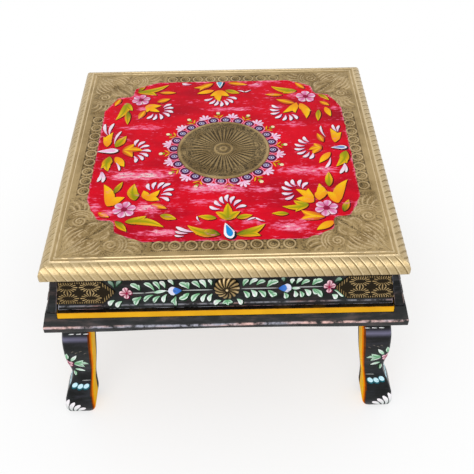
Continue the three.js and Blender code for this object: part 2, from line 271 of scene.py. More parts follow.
def rubbed_group():
    sockets = {"Paint": "Color", "Ground": "Color", "Chalk": "Color", "Rub": "Float"}
    tree, given, result = new_group("rubbed paint", sockets, {"Color": "Color", "Mask": "Float"})
    streak = noise(tree, (0.34, 1, 1), 420, 5, 0.66)
    patch = noise(tree, (0.45, 1, 1), 95, 5, 0.6)
    fleck = noise(tree, (0.5, 1, 1), 700, 2)
    rough = plus(tree, times(tree, streak, 2.4), times(tree, patch, 1.6))
    reach = plus(tree, maths(tree, "SUBTRACT", rough, 2.0), given["Rub"])
    mask = ease(tree, reach, 0.36, 0.86)
    ground = blend(tree, ease(tree, reach, 0.78, 1.3), given["Ground"], given["Chalk"])
    worn = blend(tree, mask, given["Paint"], ground)
    chipped = times(tree, ease(tree, fleck, 0.58, 0.64), ease(tree, reach, 0.92, 1.12))
    put_all(tree, result, {"Color": blend(tree, chipped, worn, SPECK), "Mask": mask})
    return tree


RUBBED = rubbed_group()

# %% Node group: scuffs along edges and dust on flats


def scuffed_group():
    sockets = {"Paint": "Color", "Scuff": "Color", "Edge": "Float", "Dust": "Float"}
    tree, given, result = new_group("scuffed paint", sockets, {"Color": "Color", "Mask": "Float"})
    chip = noise(tree, EVEN, 120, 5, 0.65)
    smear = noise(tree, (0.25, 0.25, 1), 160, 5, 0.7)
    edge = times(tree, given["Edge"], ease(tree, chip, 0.36, 0.6))
    haze = times(tree, given["Dust"], ease(tree, smear, 0.42, 0.78))
    mask = maths(tree, "MAXIMUM", edge, haze, clamp=True)
    put_all(tree, result, {"Color": blend(tree, mask, given["Paint"], given["Scuff"]), "Mask": mask})
    return tree


SCUFFED = scuffed_group()

# %% Node group: wood grain


def grain_group():
    sockets = {"Light": "Color", "Dark": "Color", "Along": "Vector"}
    tree, given, result = new_group("wood grain", sockets, {"Color": "Color", "Height": "Float"})
    run = add(tree, "VectorMath", {0: own_place(tree), 1: given["Along"]}, operation="MULTIPLY").outputs[0]
    fibres = noise(tree, run, 900, 4, 0.6)
    rings = noise(tree, run, 110, 2, 0.5)
    figure = plus(tree, times(tree, rings, 0.65), times(tree, fibres, 0.35))
    colour = blend(tree, ease(tree, figure, 0.38, 0.64), given["Light"], given["Dark"])
    put_all(tree, result, {"Color": colour, "Height": fibres})
    return tree


GRAIN = grain_group()

# %% Node group: old brass, dark in the hollows and bright on the crests


def patina_group():
    sockets = {"Relief": "Float", "Polish": "Float", "Chase": "Float"}
    results = {"Color": "Color", "Metallic": "Float", "Roughness": "Float", "Height": "Float"}
    tree, given, result = new_group("old brass", sockets, results)
    cloud = noise(tree, EVEN, 38, 4, 0.6)
    grit = noise(tree, EVEN, 620, 3, 0.6)
    dents = noise(tree, EVEN, 190, 3, 0.55)
    swirl = add(tree, "TexNoise", {"Vector": place(tree), "Scale": 62, "Detail": 1.5, "Distortion": 1.4})
    waves = maths(tree, "SINE", times(tree, swirl.outputs["Fac"], 62))
    line = times(tree, given["Chase"], waves)
    rough = times(tree, maths(tree, "SUBTRACT", grit, 0.5), 0.5)
    lift = plus(tree, given["Relief"], plus(tree, rough, times(tree, line, 0.34)))
    tarnished = blend(tree, ease(tree, cloud, 0.35, 0.68), tone(174, 149, 104), tone(138, 114, 72))
    sheet = blend(tree, given["Polish"], tarnished, tone(190, 168, 124))
    hollow = blend(tree, given["Polish"], tone(34, 26, 12), tone(84, 62, 30))
    crest = blend(tree, given["Polish"], tone(216, 192, 152), tone(216, 198, 158))
    lower = blend(tree, ease(tree, lift, -0.1, 0.42), hollow, sheet)
    dented = plus(tree, grit, times(tree, dents, 3))
    put_all(tree, result, {
        "Color": blend(tree, ease(tree, lift, 0.52, 1.1), lower, crest),
        "Metallic": ease(tree, lift, 0.0, 0.4, 0.85, 0.95),
        "Roughness": ease(tree, lift, 0.1, 0.9, 0.5, 0.32),
        "Height": plus(tree, dented, times(tree, line, 0.8)),
    })
    return tree


PATINA = patina_group()
print("shared effects:", [g.name for g in bpy.data.node_groups])

# %% [markdown]
# ## Materials
#
# Crimson for the field, one paint that takes its colour from the brush strokes themselves, black with
# scuffs, yellow with a brown shade, brass, bare wood and steel.

# %% Painted finishes
PAINT_SHINE = 0.06
YELLOW_SHINE = 0.004
BLACK_SHINE = 0.14
PLINTH_SHINE = 0.3
# Height of a pale line along the plinth's edge: worn paint, and also a painted highlight along that edge.
PLINTH_LINE = 167.5
DRAWER_LINE = 192


def coat(tree, shader, worn, roughness, shine, height, ridges, strength):
    """Gives a shader the colour of a worn coat, a roughness that follows the wear, and fine ridges."""
    put_all(tree, shader, {
        "Base Color": worn["Color"],
        "Roughness": ease(tree, worn["Mask"], 0, 1, *roughness),
        "Specular IOR Level": shine,
        "Normal": bump(tree, height, ridges, strength),
    })


def rubbed_paint(name, colour, depth, under, roughness, ridges):
    """Brushed paint that is rubbed through to the ground under it; colour(tree) mixes its colour."""
    material, tree, shader = new_material(name)
    brushed = use(tree, BRUSHED, {"Paint": colour(tree), "Depth": depth})
    inputs = {"Paint": brushed["Color"], "Ground": under, "Chalk": CHALK, "Rub": mark(tree, "rub")}
    coat(tree, shader, use(tree, RUBBED, inputs), roughness, PAINT_SHINE, brushed["Height"], ridges, 0.5)
    return material


def clouded_crimson(tree):
    cloud = noise(tree, (0.4, 1, 1), 26, 4)
    return blend(tree, ease(tree, cloud, 0.4, 0.75), CRIMSON, DEEP_CRIMSON)


def stroke_colours(tree):
    """The colours that each brush stroke carries."""
    return mark(tree, "paint", "Color")


def scuffed_paint(tree, shader, paint, depth, scuffs, roughness, shine, ridges):
    """Brushed paint with scuffs: their colour, how far an edge has them, and how many lie on a flat."""
    brushed = use(tree, BRUSHED, {"Paint": paint, "Depth": depth})
    inputs = {"Paint": brushed["Color"], **dict(zip(("Scuff", "Edge", "Dust"), scuffs))}
    coat(tree, shader, use(tree, SCUFFED, inputs), roughness, shine, brushed["Height"], ridges, 0.6)


def wear_and_highlight_line(tree, height, share):
    """A pale line all along one height, in metres, that wanders a little up and down: worn paint, and on the
    plinth also a painted highlight along its edge.
    """
    level = add(tree, "SeparateXYZ", {"Vector": own_place(tree)}).outputs["Z"]
    wander = noise(tree, (0.3, 0.3, 0.3), 40, 3)
    middle = plus(tree, times(tree, wander, 0.002), height - 0.001)
    apart = maths(tree, "ABSOLUTE", maths(tree, "SUBTRACT", level, middle))
    return ease(tree, apart, 0.0006, 0.0026 * share, share, 0.0)


def black_paint(name, shine, scuffs, line=None, share=1.0):
    """Black with scuffs and a lilac-grey painted highlight where the mesh marks one, and if asked with a
    pale line at one height, in millimetres.
    """
    material, tree, shader = new_material(name)
    cloud = noise(tree, EVEN, 30, 4)
    black = blend(tree, ease(tree, cloud, 0.35, 0.7), tone(8, 10, 10), tone(30, 35, 35))
    # Painted highlight: where the mesh's knee mark rises, the black turns lilac-grey, like gloss catching
    # the light.
    highlighted = blend(tree, mark(tree, "bloom"), black, tone(122, 120, 148))
    bare = noise(tree, (0.3, 0.3, 1), 55, 4)
    scuff = blend(tree, ease(tree, bare, 0.42, 0.58), *scuffs)
    edge = mark(tree, "edge")
    if line:
        edge = maths(tree, "MAXIMUM", edge, wear_and_highlight_line(tree, line * MM, share))
    scuffed_paint(tree, shader, highlighted, 0.4, (scuff, edge, 0.08), (0.26, 0.6), shine, 0.00012)
    return material


def yellow_paint(name, yellow):
    """Yellow that turns to orange and brown where the mesh's shade mark rises."""
    material, tree, shader = new_material(name)
    shade = plus(tree, mark(tree, "shade"), times(tree, noise(tree, EVEN, 160), 0.1))
    warm = blend(tree, ease(tree, shade, 0.5, 0.72), yellow, tone(232, 118, 12))
    brown = blend(tree, ease(tree, shade, 0.74, 0.92), warm, tone(96, 42, 14))
    lined = blend(tree, ease(tree, shade, 0.1, 0.03), brown, tone(22, 20, 18))
    scuffs = (tone(214, 164, 60), mark(tree, "edge"), 0.1)
    scuffed_paint(tree, shader, lined, 0.35, scuffs, (0.36, 0.55), YELLOW_SHINE, 0.0001)
    return material


CRIMSON_PAINT = rubbed_paint("crimson paint", clouded_crimson, 0.42, RUBBED_PINK, (0.42, 0.62), 0.0001)
FIELD_STROKES = rubbed_paint("field strokes", stroke_colours, 0.25, RUBBED_PINK, (0.4, 0.6), 0.00008)
VINE_STROKES = rubbed_paint("vine strokes", stroke_colours, 0.3, tone(60, 60, 66), (0.38, 0.58), 0.00008)
WORN_TO_PINK = (tone(168, 168, 182), tone(226, 184, 176))
WORN_TO_GREY = (tone(118, 116, 140), tone(150, 148, 172))
WORN_DRAWER = (tone(170, 170, 180), tone(172, 128, 122))
BLACK_PAINT = black_paint("black paint", BLACK_SHINE, WORN_TO_PINK)
PLINTH_PAINT = black_paint("plinth paint", PLINTH_SHINE, WORN_TO_PINK, PLINTH_LINE)
LEG_PAINT = black_paint("leg paint", BLACK_SHINE, WORN_TO_GREY)
DRAWER_PAINT = black_paint("drawer paint", BLACK_SHINE, WORN_DRAWER, DRAWER_LINE, 0.5)
RAIL_YELLOW = yellow_paint("rail yellow", tone(222, 166, 32))
LEG_YELLOW = yellow_paint("leg yellow", tone(246, 190, 10))

# %% Brass, wood and steel
WOOD_SHINE = 0.5


def old_brass():
    material, tree, shader = new_material("old brass")
    marks = {label.capitalize(): mark(tree, label) for label in ("relief", "polish", "chase")}
    brass = use(tree, PATINA, marks)
    put_all(tree, shader, {
        "Base Color": brass["Color"],
        "Metallic": brass["Metallic"],
        "Roughness": brass["Roughness"],
        "Normal": bump(tree, brass["Height"], 0.00018, 0.7),
    })
    return material


def bare_wood(name, along):
    material, tree, shader = new_material(name)
    grain = use(tree, GRAIN, {"Light": tone(186, 146, 100), "Dark": tone(140, 100, 62), "Along": along})
    inputs = {"Paint": grain["Color"], "Scuff": tone(104, 78, 52), "Edge": mark(tree, "edge"), "Dust": 0.35}
    coat(tree, shader, use(tree, SCUFFED, inputs), (0.62, 0.78), WOOD_SHINE, grain["Height"], 0.0002, 0.5)
    return material


def screw_steel():
    material, tree, shader = new_material("screw steel")
    grit = noise(tree, EVEN, 900, 3)
    put_all(tree, shader, {
        "Base Color": blend(tree, grit, tone(120, 118, 116), tone(178, 178, 180)),
        "Metallic": 1.0,
        "Roughness": ease(tree, grit, 0.3, 0.7, 0.3, 0.5),
    })
    return material


OLD_BRASS = old_brass()
WOOD_ALONG_X = bare_wood("bare wood, grain along x", (0.08, 1, 1))
WOOD_ALONG_Y = bare_wood("bare wood, grain along y", (1, 0.08, 1))
SCREW_STEEL = screw_steel()
print("materials:", len(bpy.data.materials))

# %% [markdown]
# ## From a bmesh to a piece
#
# Each new piece is drawn in a bmesh in millimetres. Doubles are merged, the normals turned outwards, and
# the mesh scaled to metres. The piece then rides on its body of the frame and stands for the nodes that it
# replaces.

# %% Helpers for meshes and pieces


def merged(bm, distance):
    bmesh.ops.remove_doubles(bm, verts=bm.verts, dist=distance)


def scaled(bm, factor):
    bmesh.ops.scale(bm, vec=(factor, factor, factor), verts=bm.verts)


def quarter_turned(bm, turns):
    bmesh.ops.rotate(bm, cent=(0, 0, 0), matrix=Matrix.Rotation(turns * QUARTER, 3, "Z"), verts=bm.verts)


def closed(bm, rim):
    """Fills a ring of edges with one face."""
    bmesh.ops.contextual_create(bm, geom=rim)


def mesh_from(name, bm):
    mesh = bpy.data.meshes.new(name)
    bm.to_mesh(mesh)
    bm.free()
    return mesh


def new_object(name, data):
    made = bpy.data.objects.new(name, data)
    bpy.context.scene.collection.objects.link(made)
    return made


def finished(name, bm, materials, body, slot, replaces=(), weld=0.001, smooth=60):
    merged(bm, weld)
    bmesh.ops.recalc_face_normals(bm, faces=bm.faces)
    scaled(bm, MM)
    limit = math.radians(smooth)
    for face in bm.faces:
        face.smooth = True
    for edge in bm.edges:
        edge.smooth = len(edge.link_faces) == 2 and edge.calc_face_angle(0) < limit
    mesh = mesh_from(name, bm)
    for material in materials if isinstance(materials, list) else [materials]:
        mesh.materials.append(material)
    piece = new_object(name, mesh)
    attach(piece, body)
    if replaces:
        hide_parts(*replaces)
    print(name, len(mesh.polygons), "faces")
    return piece


def thickened(piece, thickness):
    """Gives an open sheet a wall on its inner side, in millimetres."""
    wall = piece.modifiers.new("wall", "SOLIDIFY")
    wall.thickness = thickness * MM
    wall.offset = -1


def bent_grid(columns, rows, shape):
    """A flat grid bent by shape(u, v), which takes arrays from 0 to 1 and gives places and named marks."""
    bm = bmesh.new()
    bmesh.ops.create_grid(bm, x_segments=columns, y_segments=rows, size=0.5)
    flat = np.array([vert.co for vert in bm.verts])
    places, marks = shape(flat[:, 0] + 0.5, flat[:, 1] + 0.5)
    layers = {name: bm.verts.layers.float.new(name) for name in marks}
    marks = {name: np.broadcast_to(values, len(flat)) for name, values in marks.items()}
    for index, vert in enumerate(bm.verts):
        vert.co = places[index]
        for name, layer in layers.items():
            vert[layer] = float(marks[name][index])
    return bm


print("piece helpers ready")

# %% [markdown]
# Forms are worked out for a whole grid at once. A relief is a sum of soft ridges and waves, each faded in
# and out by a smooth step.

# %% Helpers for forms


def ridge(distance, width):
    return np.exp(-((distance / width) ** 2))


def within(value, low, high):
    """1 below low and 0 above high, smoothly."""
    t = np.clip((high - value) / (high - low), 0, 1)
    return t * t * (3 - 2 * t)


def beyond(value, low, high):
    return 1 - within(value, low, high)


def pulse(turns):
    """A wave between 0 and 1 with its crests at whole numbers."""
    return 0.5 + 0.5 * np.cos(TURN * turns)


def run_along(x, y):
    """How far along a line each of its points lies."""
    return np.concatenate([[0], np.cumsum(np.hypot(np.diff(x), np.diff(y)))])


def round_place(middle, radius, angle):
    """The place at a radius and an angle round a middle."""
    return (middle[0] + radius * math.cos(angle), middle[1] + radius * math.sin(angle))


print("form helpers ready")

# %% [markdown]
# ## Wooden pieces
#
# The boards of the frame have the right shape, but their edges are knife sharp. On the table every edge
# is rounded and the paint there is worn. So each board is copied, its loose triangles are merged, flat
# faces are dissolved into one, and the sharp edges are bevelled. The faces of the bevels carry an edge mark,
# which the paint reads to show its scuffs there.

# %% Softened copies of the boards
SHARP = math.radians(30)


def softened(node, material, body, slot, width, segments=2, edge=1.0, marks=None):
    bm = bmesh.new()
    bm.from_mesh(nodes[node].data)
    scaled(bm, 1 / MM)
    merged(bm, 0.01)
    bmesh.ops.dissolve_limit(bm, angle_limit=math.radians(1), verts=bm.verts, edges=bm.edges)
    edge_mark = bm.faces.layers.float.new("edge")
    sharp = [e for e in bm.edges if e.calc_face_angle(0) > SHARP and e.calc_length() > 3 * width]
    rounding = {"offset": width, "segments": segments, "profile": 0.5, "clamp_overlap": True}
    bevelled = bmesh.ops.bevel(bm, geom=sharp, affect="EDGES", material=-1, **rounding)
    for face in bevelled["faces"]:
        face[edge_mark] = edge
    for name, value in (marks or {}).items():
        layer = bm.verts.layers.float.new(name)
        for vert in bm.verts:
            vert[layer] = value(vert.co)
    finished("soft_" + node, bm, material, body, slot, [node], smooth=32)


SIDES = ("front", "right", "back", "left")
for side in SIDES:
    softened(f"plinth_{side}", PLINTH_PAINT, "table", "black_paint", 1.5, 3)
for node in ("side_wall_right", "side_wall_left", "back_wall"):
    softened(node, BLACK_PAINT, "table", "black_paint", 0.9, edge=0.22)
for node, material, body, slot, width, segments, edge in (
    ("base_panel", WOOD_ALONG_X, "table", "bare_wood", 0.5, 2, 0.6),
    ("drawer_guide_right", WOOD_ALONG_Y, "table", "bare_wood", 0.5, 2, 0.6),
    ("drawer_guide_left", WOOD_ALONG_Y, "table", "bare_wood", 0.5, 2, 0.6),
    ("drawer_front", DRAWER_PAINT, "drawer", "black_paint", 0.9, 3, 0.8),
    ("drawer_side_right", WOOD_ALONG_Y, "drawer", "bare_wood", 0.6, 2, 0.6),
    ("drawer_side_left", WOOD_ALONG_Y, "drawer", "bare_wood", 0.6, 2, 0.6),
    ("drawer_back", WOOD_ALONG_X, "drawer", "bare_wood", 0.5, 2, 0.6),
    ("drawer_bottom", WOOD_ALONG_X, "drawer", "bare_wood", 0.5, 2, 0.6),
):
    softened(node, material, body, slot, width, segments, edge)

# %% [markdown]
# The rail under the drawer is the yellow stripe of the front. Just under the drawer front its upper edge is
# painted brown and its top face black, as painted shade of the dark gap there, so the rail carries a shade
# mark set by height.

# %% Yellow rail
RAIL_TOP = span("front_rail")[1].z
RAIL_LIGHT = 0.3
RAIL_SHADE_BROWN = 0.82
RAIL_GAP_SHADOW = -0.1


# Painted shade: black on the top face and brown on the edge below it, where the gap under the drawer front
# is dark.
def rail_painted_shade(point):
    if point.z > RAIL_TOP - 0.1:
        return RAIL_GAP_SHADOW
    return RAIL_SHADE_BROWN if point.z > RAIL_TOP - 0.5 else RAIL_LIGHT


softened("front_rail", RAIL_YELLOW, "table", "yellow_paint", 0.7, 3, edge=0.3, marks={"shade": rail_painted_shade})

# %% [markdown]
# The board of the top stays as it is in the frame: brass covers its edge and paint its middle, and only its
# underside shows.

# %% Underside of the top board
top_board = nodes["top_board"]
top_board.data.materials.clear()
top_board.data.materials.append(WOOD_ALONG_X)

# %% [markdown]
# ## Cabriole legs
#
# Each leg is cut from a square block with the same curve on its two outer faces. It could be sculpted, but a
# loft is closer to the joiner's way: one ring with rounded corners is repeated up the leg, and each ring
# takes its size from the leg of the frame at that height.

# %% Cabriole legs
LEG_ROUND = 3.4
LEG_SIDE_ROUND = 5.5
LEG_INNER_ROUND = 1.6
PAINT_ROOM = 0.35
# Height of a painted highlight: a soft lilac-grey band in the black paint across each knee.
KNEE_SHEEN = 131.5
SHADE_ACROSS = (0, 0.25, 0.3, 0.88, 0.95, 1)
SHADE_STEPS = (-0.1, -0.1, 0.2, 0.44, 0.72, 0.96)
LEG_RINGS = 64
LEG_RING_STEPS = 96
LEG_CROWDING = 0.75
INNER_FACE = -0.3


def leg_profile(node):
    """Heights, and the inner and outer face at each, read from the frame's leg."""
    points = np.array([vert.co for vert in nodes[node].data.vertices]) / MM
    top = span("plinth_front")[0].z
    levels = {}
    for x, _, z in np.abs(points):
        if z <= top + 0.01:
            levels.setdefault(round(z, 1), []).append(x)
    heights = sorted(levels)
    inner = [min(levels[z]) for z in heights]
    outer = [max(levels[z]) for z in heights]
    return heights, inner, outer


LEG_Z, LEG_INNER, LEG_OUTER = leg_profile("leg_back_right")
LEG_TOP = LEG_Z[-1]


def leg_faces(z):
    return np.interp(z, LEG_Z, LEG_INNER), np.interp(z, LEG_Z, LEG_OUTER) - PAINT_ROOM


def leg_ring(u, inner, outer):
    """Points round a square with rounded corners, from its inner corner and back to it."""
    side = outer - inner
    turn = u * 4
    leg = np.floor(turn).astype(int) % 4
    even = turn - np.floor(turn)
    run = even + LEG_CROWDING * (0.5 - 0.5 * np.cos(math.pi * even) - even)
    x = np.choose(leg, [run, 1, 1 - run, 0]) * side
    y = np.choose(leg, [0, run, 1, 1 - run]) * side
    rounds = ((0, 0, LEG_INNER_ROUND), (1, 0, LEG_SIDE_ROUND), (1, 1, LEG_ROUND), (0, 1, LEG_SIDE_ROUND))
    for cx, cy, radius in rounds:
        dx = radius - np.abs(x - cx * side)
        dy = radius - np.abs(y - cy * side)
        near = (dx > 0) & (dy > 0)
        pull = np.minimum(radius / np.maximum(np.hypot(dx, dy), 1e-6), 1)
        x = np.where(near, cx * side + (1 - 2 * cx) * (radius - dx * pull), x)
        y = np.where(near, cy * side + (1 - 2 * cy) * (radius - dy * pull), y)
    return x + inner, y + inner


def leg_shape(u, v):
    z = v * LEG_TOP
    inner, outer = leg_faces(z)
    x, y = leg_ring(u, inner, outer)
    across = (np.maximum(x, y) - inner) / (outer - inner)
    shade = np.interp(across, SHADE_ACROSS, SHADE_STEPS)
    # Besides the shade of the yellow, each ring carries a painted highlight, a soft band at the height of
    # the knee.
    return np.column_stack([x, y, z]), {"shade": shade, "bloom": 0.75 * ridge(z - KNEE_SHEEN, 3.4)}


def leg_piece(node, turn):
    bm = bent_grid(LEG_RING_STEPS, LEG_RINGS, leg_shape)
    merged(bm, 0.01)
    for height in (0, LEG_TOP):
        closed(bm, [e for e in bm.edges if e.is_boundary and abs(e.verts[0].co.z - height) < 0.01])
    bmesh.ops.recalc_face_normals(bm, faces=bm.faces)
    for face in bm.faces:
        face.material_index = 1 if min(face.normal.x, face.normal.y) < INNER_FACE else 0
    quarter_turned(bm, turn)
    finished(f"carved_{node}", bm, [LEG_PAINT, LEG_YELLOW], "table", "black_paint", [node])


LEG_NODES = ["leg_back_right", "leg_back_left", "leg_front_left", "leg_front_right"]
for turn, node in enumerate(LEG_NODES):
    leg_piece(node, turn)

# %% [markdown]
# ## Embossed brass border
#
# Four strips of thin brass sheet wrap over the edge of the top and meet in mitres. The sheet is embossed
# from a pattern: slanted grooves like a rope on the rounded edge, a double bead, a row of dots, a row of
# shell rosettes, and scrolls with feathers in the corners. A height at each point of a fine grid gives all
# that relief, and the same height tells the brass where it is tarnished and where it is rubbed bright.

# %% Outline of the painted field
CORNER_RUN = [
    (1, 0), (1, 0.56), (0.985, 0.605), (0.962, 0.656), (0.934, 0.715), (0.912, 0.755),
    (0.896, 0.77), (0.87, 0.774), (0.835, 0.776), (0.808, 0.78), (0.796, 0.79), (0.793, 0.793),
]


def dense(points, step):
    """The same polyline with a point every step."""
    x, y = np.array(points).T
    run = run_along(x, y)
    even = np.append(np.arange(0, run[-1], step), run[-1])
    return np.interp(even, run, x), np.interp(even, run, y)


EDGE_OUT, EDGE_ALONG = dense(np.array(CORNER_RUN) * FIELD_HALF, 0.5)
NOTCH_HALF = CORNER_RUN[-1][0] * FIELD_HALF


def field_edge(along):
    """How far out the painted field reaches, at a place along one side, up to the notch."""
    return np.interp(np.abs(along), EDGE_ALONG, EDGE_OUT)


def field_radius(angle):
    """How far out the painted field reaches in a direction from its middle."""
    folded = np.abs((angle + QUARTER / 2) % QUARTER - QUARTER / 2)
    return np.interp(folded, np.arctan2(EDGE_ALONG, EDGE_OUT), np.hypot(EDGE_OUT, EDGE_ALONG))


print("field reaches", round(float(field_radius(np.array(0.0))), 1), "to", round(NOTCH_HALF, 1))

# %% Relief of the border, in millimetres above the sheet
ROPE_PITCH = 9.4
ROPE_SLANT = 16
BEADS = (173, 177.3)
DOT_LINE = 165.8
DOT_PITCH = 2.2
ROSETTE_LINE = 157.6
ROSETTE_PITCH = 17
ROSETTE_COUNT = 9
ROSETTE_RADIUS = 6.6
SCROLL_AT = (118, 155)
SCROLL_RADIUS = 8.6
CRESCENTS = (10.6, 13.6, 17)
FEATHER_LINE = 170
FRONDS = [
    ((121.5, 125), (139, 141), 0.1), ((121, 130), (134, 147), 0.16),
    ((121, 136), (130, 147), 0.2), ((127, 137), (158, 160), 0.06),
    ((130, 144), (163, 166), 0.1), ((131, 150), (154, 167), 0.12),
    ((129, 156), (146, 168), 0.14), ((127, 162), (138, 168.5), 0.16),
    ((143, 146), (168, 169), -0.04), ((140, 152), (150, 158), -0.2),
    ((148, 158), (158, 167), -0.16), ((100, 148), (88, 155), 0.24),
    ((99, 152), (85, 161), 0.2), ((99, 157), (86, 167), 0.14),
    ((101, 162), (93, 169), 0.1), ((113, 142), (103, 147), 0.22),
]
ROW_END = ROSETTE_PITCH * (ROSETTE_COUNT // 2) + ROSETTE_RADIUS + 1.5


def spiral(dx, dy, radius, pitch, turn):
    """A raised line that winds outwards from a middle."""
    return pulse(radius / pitch - np.arctan2(dy, dx) / TURN + turn)


def rosettes(along, out):
    nearest = np.round(along / ROSETTE_PITCH)
    dx = along - nearest * ROSETTE_PITCH
    dy = out - ROSETTE_LINE
    radius = np.hypot(dx, dy)
    shell = 0.72 * ridge(radius - 3, 0.85) * (0.55 + 0.45 * np.cos(np.arctan2(dy, dx) - 2.2))
    rim = 0.86 * ridge(radius - ROSETTE_RADIUS + 0.6, 0.95)
    heart = 0.6 * ridge(radius, 1)
    between = ROSETTE_PITCH / 2 - np.abs(dx)
    grape = 0.6 * ridge(between, 1.3) * ridge(np.abs(dy) - 4.4, 1.7)
    pearl = 0.5 * ridge(between, 0.9) * ridge(dy, 0.9)
    ground = -0.36 * (np.abs(dy) < 7.8)
    inside = np.abs(along) < ROW_END
    return np.where(inside, ground + np.maximum.reduce([shell, rim, heart, grape, pearl]), 0)


def fronds(a, b):
    """Slender curved leaves, each a row of small mounds along a bent line."""
    height = np.zeros_like(a)
    for (from_a, from_b), (to_a, to_b), bend in FRONDS:
        for step in np.linspace(0, 1, 26):
            aside = 4 * bend * step * (1 - step)
            at_a = from_a + (to_a - from_a) * step - (to_b - from_b) * aside
            at_b = from_b + (to_b - from_b) * step + (to_a - from_a) * aside
            width = 0.7 + 0.8 * math.sin(math.pi * step)
            height = np.maximum(height, ridge(np.hypot(a - at_a, b - at_b), width) * (1 - 0.4 * step))
    return height


def feathers(along, out):
    """Scroll, crescents and fronds of a corner, the same on both sides of the mitre."""
    a = np.minimum(np.abs(along), out)
    b = np.maximum(np.abs(along), out)
    dx = a - SCROLL_AT[0]
    dy = b - SCROLL_AT[1]
    radius = np.hypot(dx, dy)
    wound = 0.62 * spiral(dx, dy, radius, 3.9, 0.3) ** 1.4
    scroll = wound * within(radius, SCROLL_RADIUS - 2, SCROLL_RADIUS)
    way = np.arctan2(dy, -dx)
    arcs = np.zeros_like(a)
    for at in CRESCENTS:
        toothed = radius - at + 0.5 * np.abs(np.cos(way * at * 0.7))
        arcs = np.maximum(arcs, 0.66 * ridge(toothed, 0.95) * within(np.abs(way + 0.25), 0.5, 1.5))
    leafy = 0.68 * fronds(a, b) * beyond(radius, SCROLL_RADIUS - 1, SCROLL_RADIUS + 1)
    raised = np.maximum.reduce([scroll, arcs, leafy])
    field = beyond(np.abs(along), ROW_END + 1, ROW_END + 5)
    return (raised * (b < FEATHER_LINE) - 0.13 * (b < FEATHER_LINE + 0.5)) * field


print("rosettes per side:", ROSETTE_COUNT, "reach", ROW_END)

# %% [markdown]
# The strip is a grid with its columns across the sheet and its rows from the lower lip, round the edge and
# over the flat to the painted field. Each column meets the mitre on the diagonal. The strip is made once
# and turned for the other three sides, as the four real strips are all struck from one pattern.

# %% Brass strips
STRIP_COLUMNS = 600
LIP_ROWS = 4
ROUND_ROWS = 18
FLAT_ROWS = 46
MITRE_GAP = 0.12
SHEET = 0.6
EDGE_ROWS = LIP_ROWS + 1 + ROUND_ROWS


def edge_stations():
    """Places down the rounded edge: out, up, the way it faces, and the run along the sheet."""
    lip = np.radians(np.linspace(-90, 0, LIP_ROWS + 1))
    drop = np.radians(np.linspace(0, 90, ROUND_ROWS + 1))
    lip_out = TOP_HALF - UNDER_RADIUS + UNDER_RADIUS * np.cos(lip)
    lip_up = TOP_UNDER + UNDER_RADIUS + UNDER_RADIUS * np.sin(lip)
    out = np.append(lip_out, FLAT_HALF + EDGE_RUN * np.cos(drop))
    up = np.append(lip_up, TABLE_Z - EDGE_DROP + EDGE_DROP * np.sin(drop))
    face_out = np.append(np.cos(lip), np.cos(drop) / EDGE_RUN)
    face_up = np.append(np.sin(lip), np.sin(drop) / EDGE_DROP)
    size = np.hypot(face_out, face_up)
    return out, up, face_out / size, face_up / size, run_along(out, up)


STATIONS = edge_stations()
EDGE_TOP = STATIONS[-1][-1]


def rope(along, run):
    """Slanted grooves that curve as they climb, each with a fine raised line beside it."""
    phase = (along + ROPE_SLANT * (run / EDGE_TOP) ** 1.4) / ROPE_PITCH
    apart = (phase - np.round(phase)) * ROPE_PITCH
    return 0.2 * ridge(apart - 1.2, 0.7) - 0.42 * ridge(apart, 0.55) - 0.14


def strip_shape(u, v):
    side = 2 * u - 1
    row = np.rint(v * (EDGE_ROWS + FLAT_ROWS)).astype(int)
    station = np.minimum(row, EDGE_ROWS)
    out, up, face_out, face_up, run = (values[station] for values in STATIONS)
    along = side * (out - MITRE_GAP)
    relief = rope(along, run) * beyond(run, 1.0, 4.0) * within(run, EDGE_TOP - 1.2, EDGE_TOP)
    share = np.clip((row - EDGE_ROWS) / FLAT_ROWS, 0, 1)
    inner_along = side * (NOTCH_HALF - MITRE_GAP)
    inner_out = field_edge(inner_along)
    flat = share > 0
    along = np.where(flat, along + (inner_along - along) * share, along)
    out = np.where(flat, out + (inner_out - out) * share, out)
    raised = rosettes(along, out) + feathers(along, out)
    beads = np.maximum.reduce([BEAD_RISE * ridge(out - line, 0.62) for line in BEADS])
    dots = 0.4 * ridge(out - DOT_LINE, 0.7) * pulse(along / DOT_PITCH)
    dots = dots * within(np.abs(along), ROW_END, ROW_END + 2)
    crest = np.maximum(beads, dots)
    relief = np.where(flat, np.where(crest > 0.05, np.maximum(raised, crest), raised), relief)
    straight = TOP_HALF - CORNER_RADIUS
    corner_x = np.maximum(np.abs(along) - straight, 0)
    corner_y = np.maximum(out - straight, 0)
    pull = CORNER_RADIUS / np.maximum(np.hypot(corner_x, corner_y), CORNER_RADIUS)
    along = np.where(pull < 1, np.sign(along) * (straight + corner_x * pull), along)
    out = np.where(pull < 1, straight + corner_y * pull, out)
    places = np.column_stack([along, -(out + face_out * relief), up + face_up * relief])
    band = within(run, EDGE_TOP - 0.5, EDGE_TOP + 0.5) * (1 - share)
    level = np.clip(np.where(flat, 0.4 + relief, 0.86 + 2.4 * relief) + 0.2 * band, -0.2, 1.1)
    polish = np.where(flat, 0.3 * within(share, 0.3, 0.5), 0.55)
    engraved = flat * within(out, FEATHER_LINE - 1, FEATHER_LINE + 1)
    chase = engraved * (0.2 + 0.3 * beyond(np.abs(along), ROW_END, ROW_END + 4)) * within(relief, 0.1, 0.5)
    return places, {"relief": level, "polish": polish, "chase": chase}


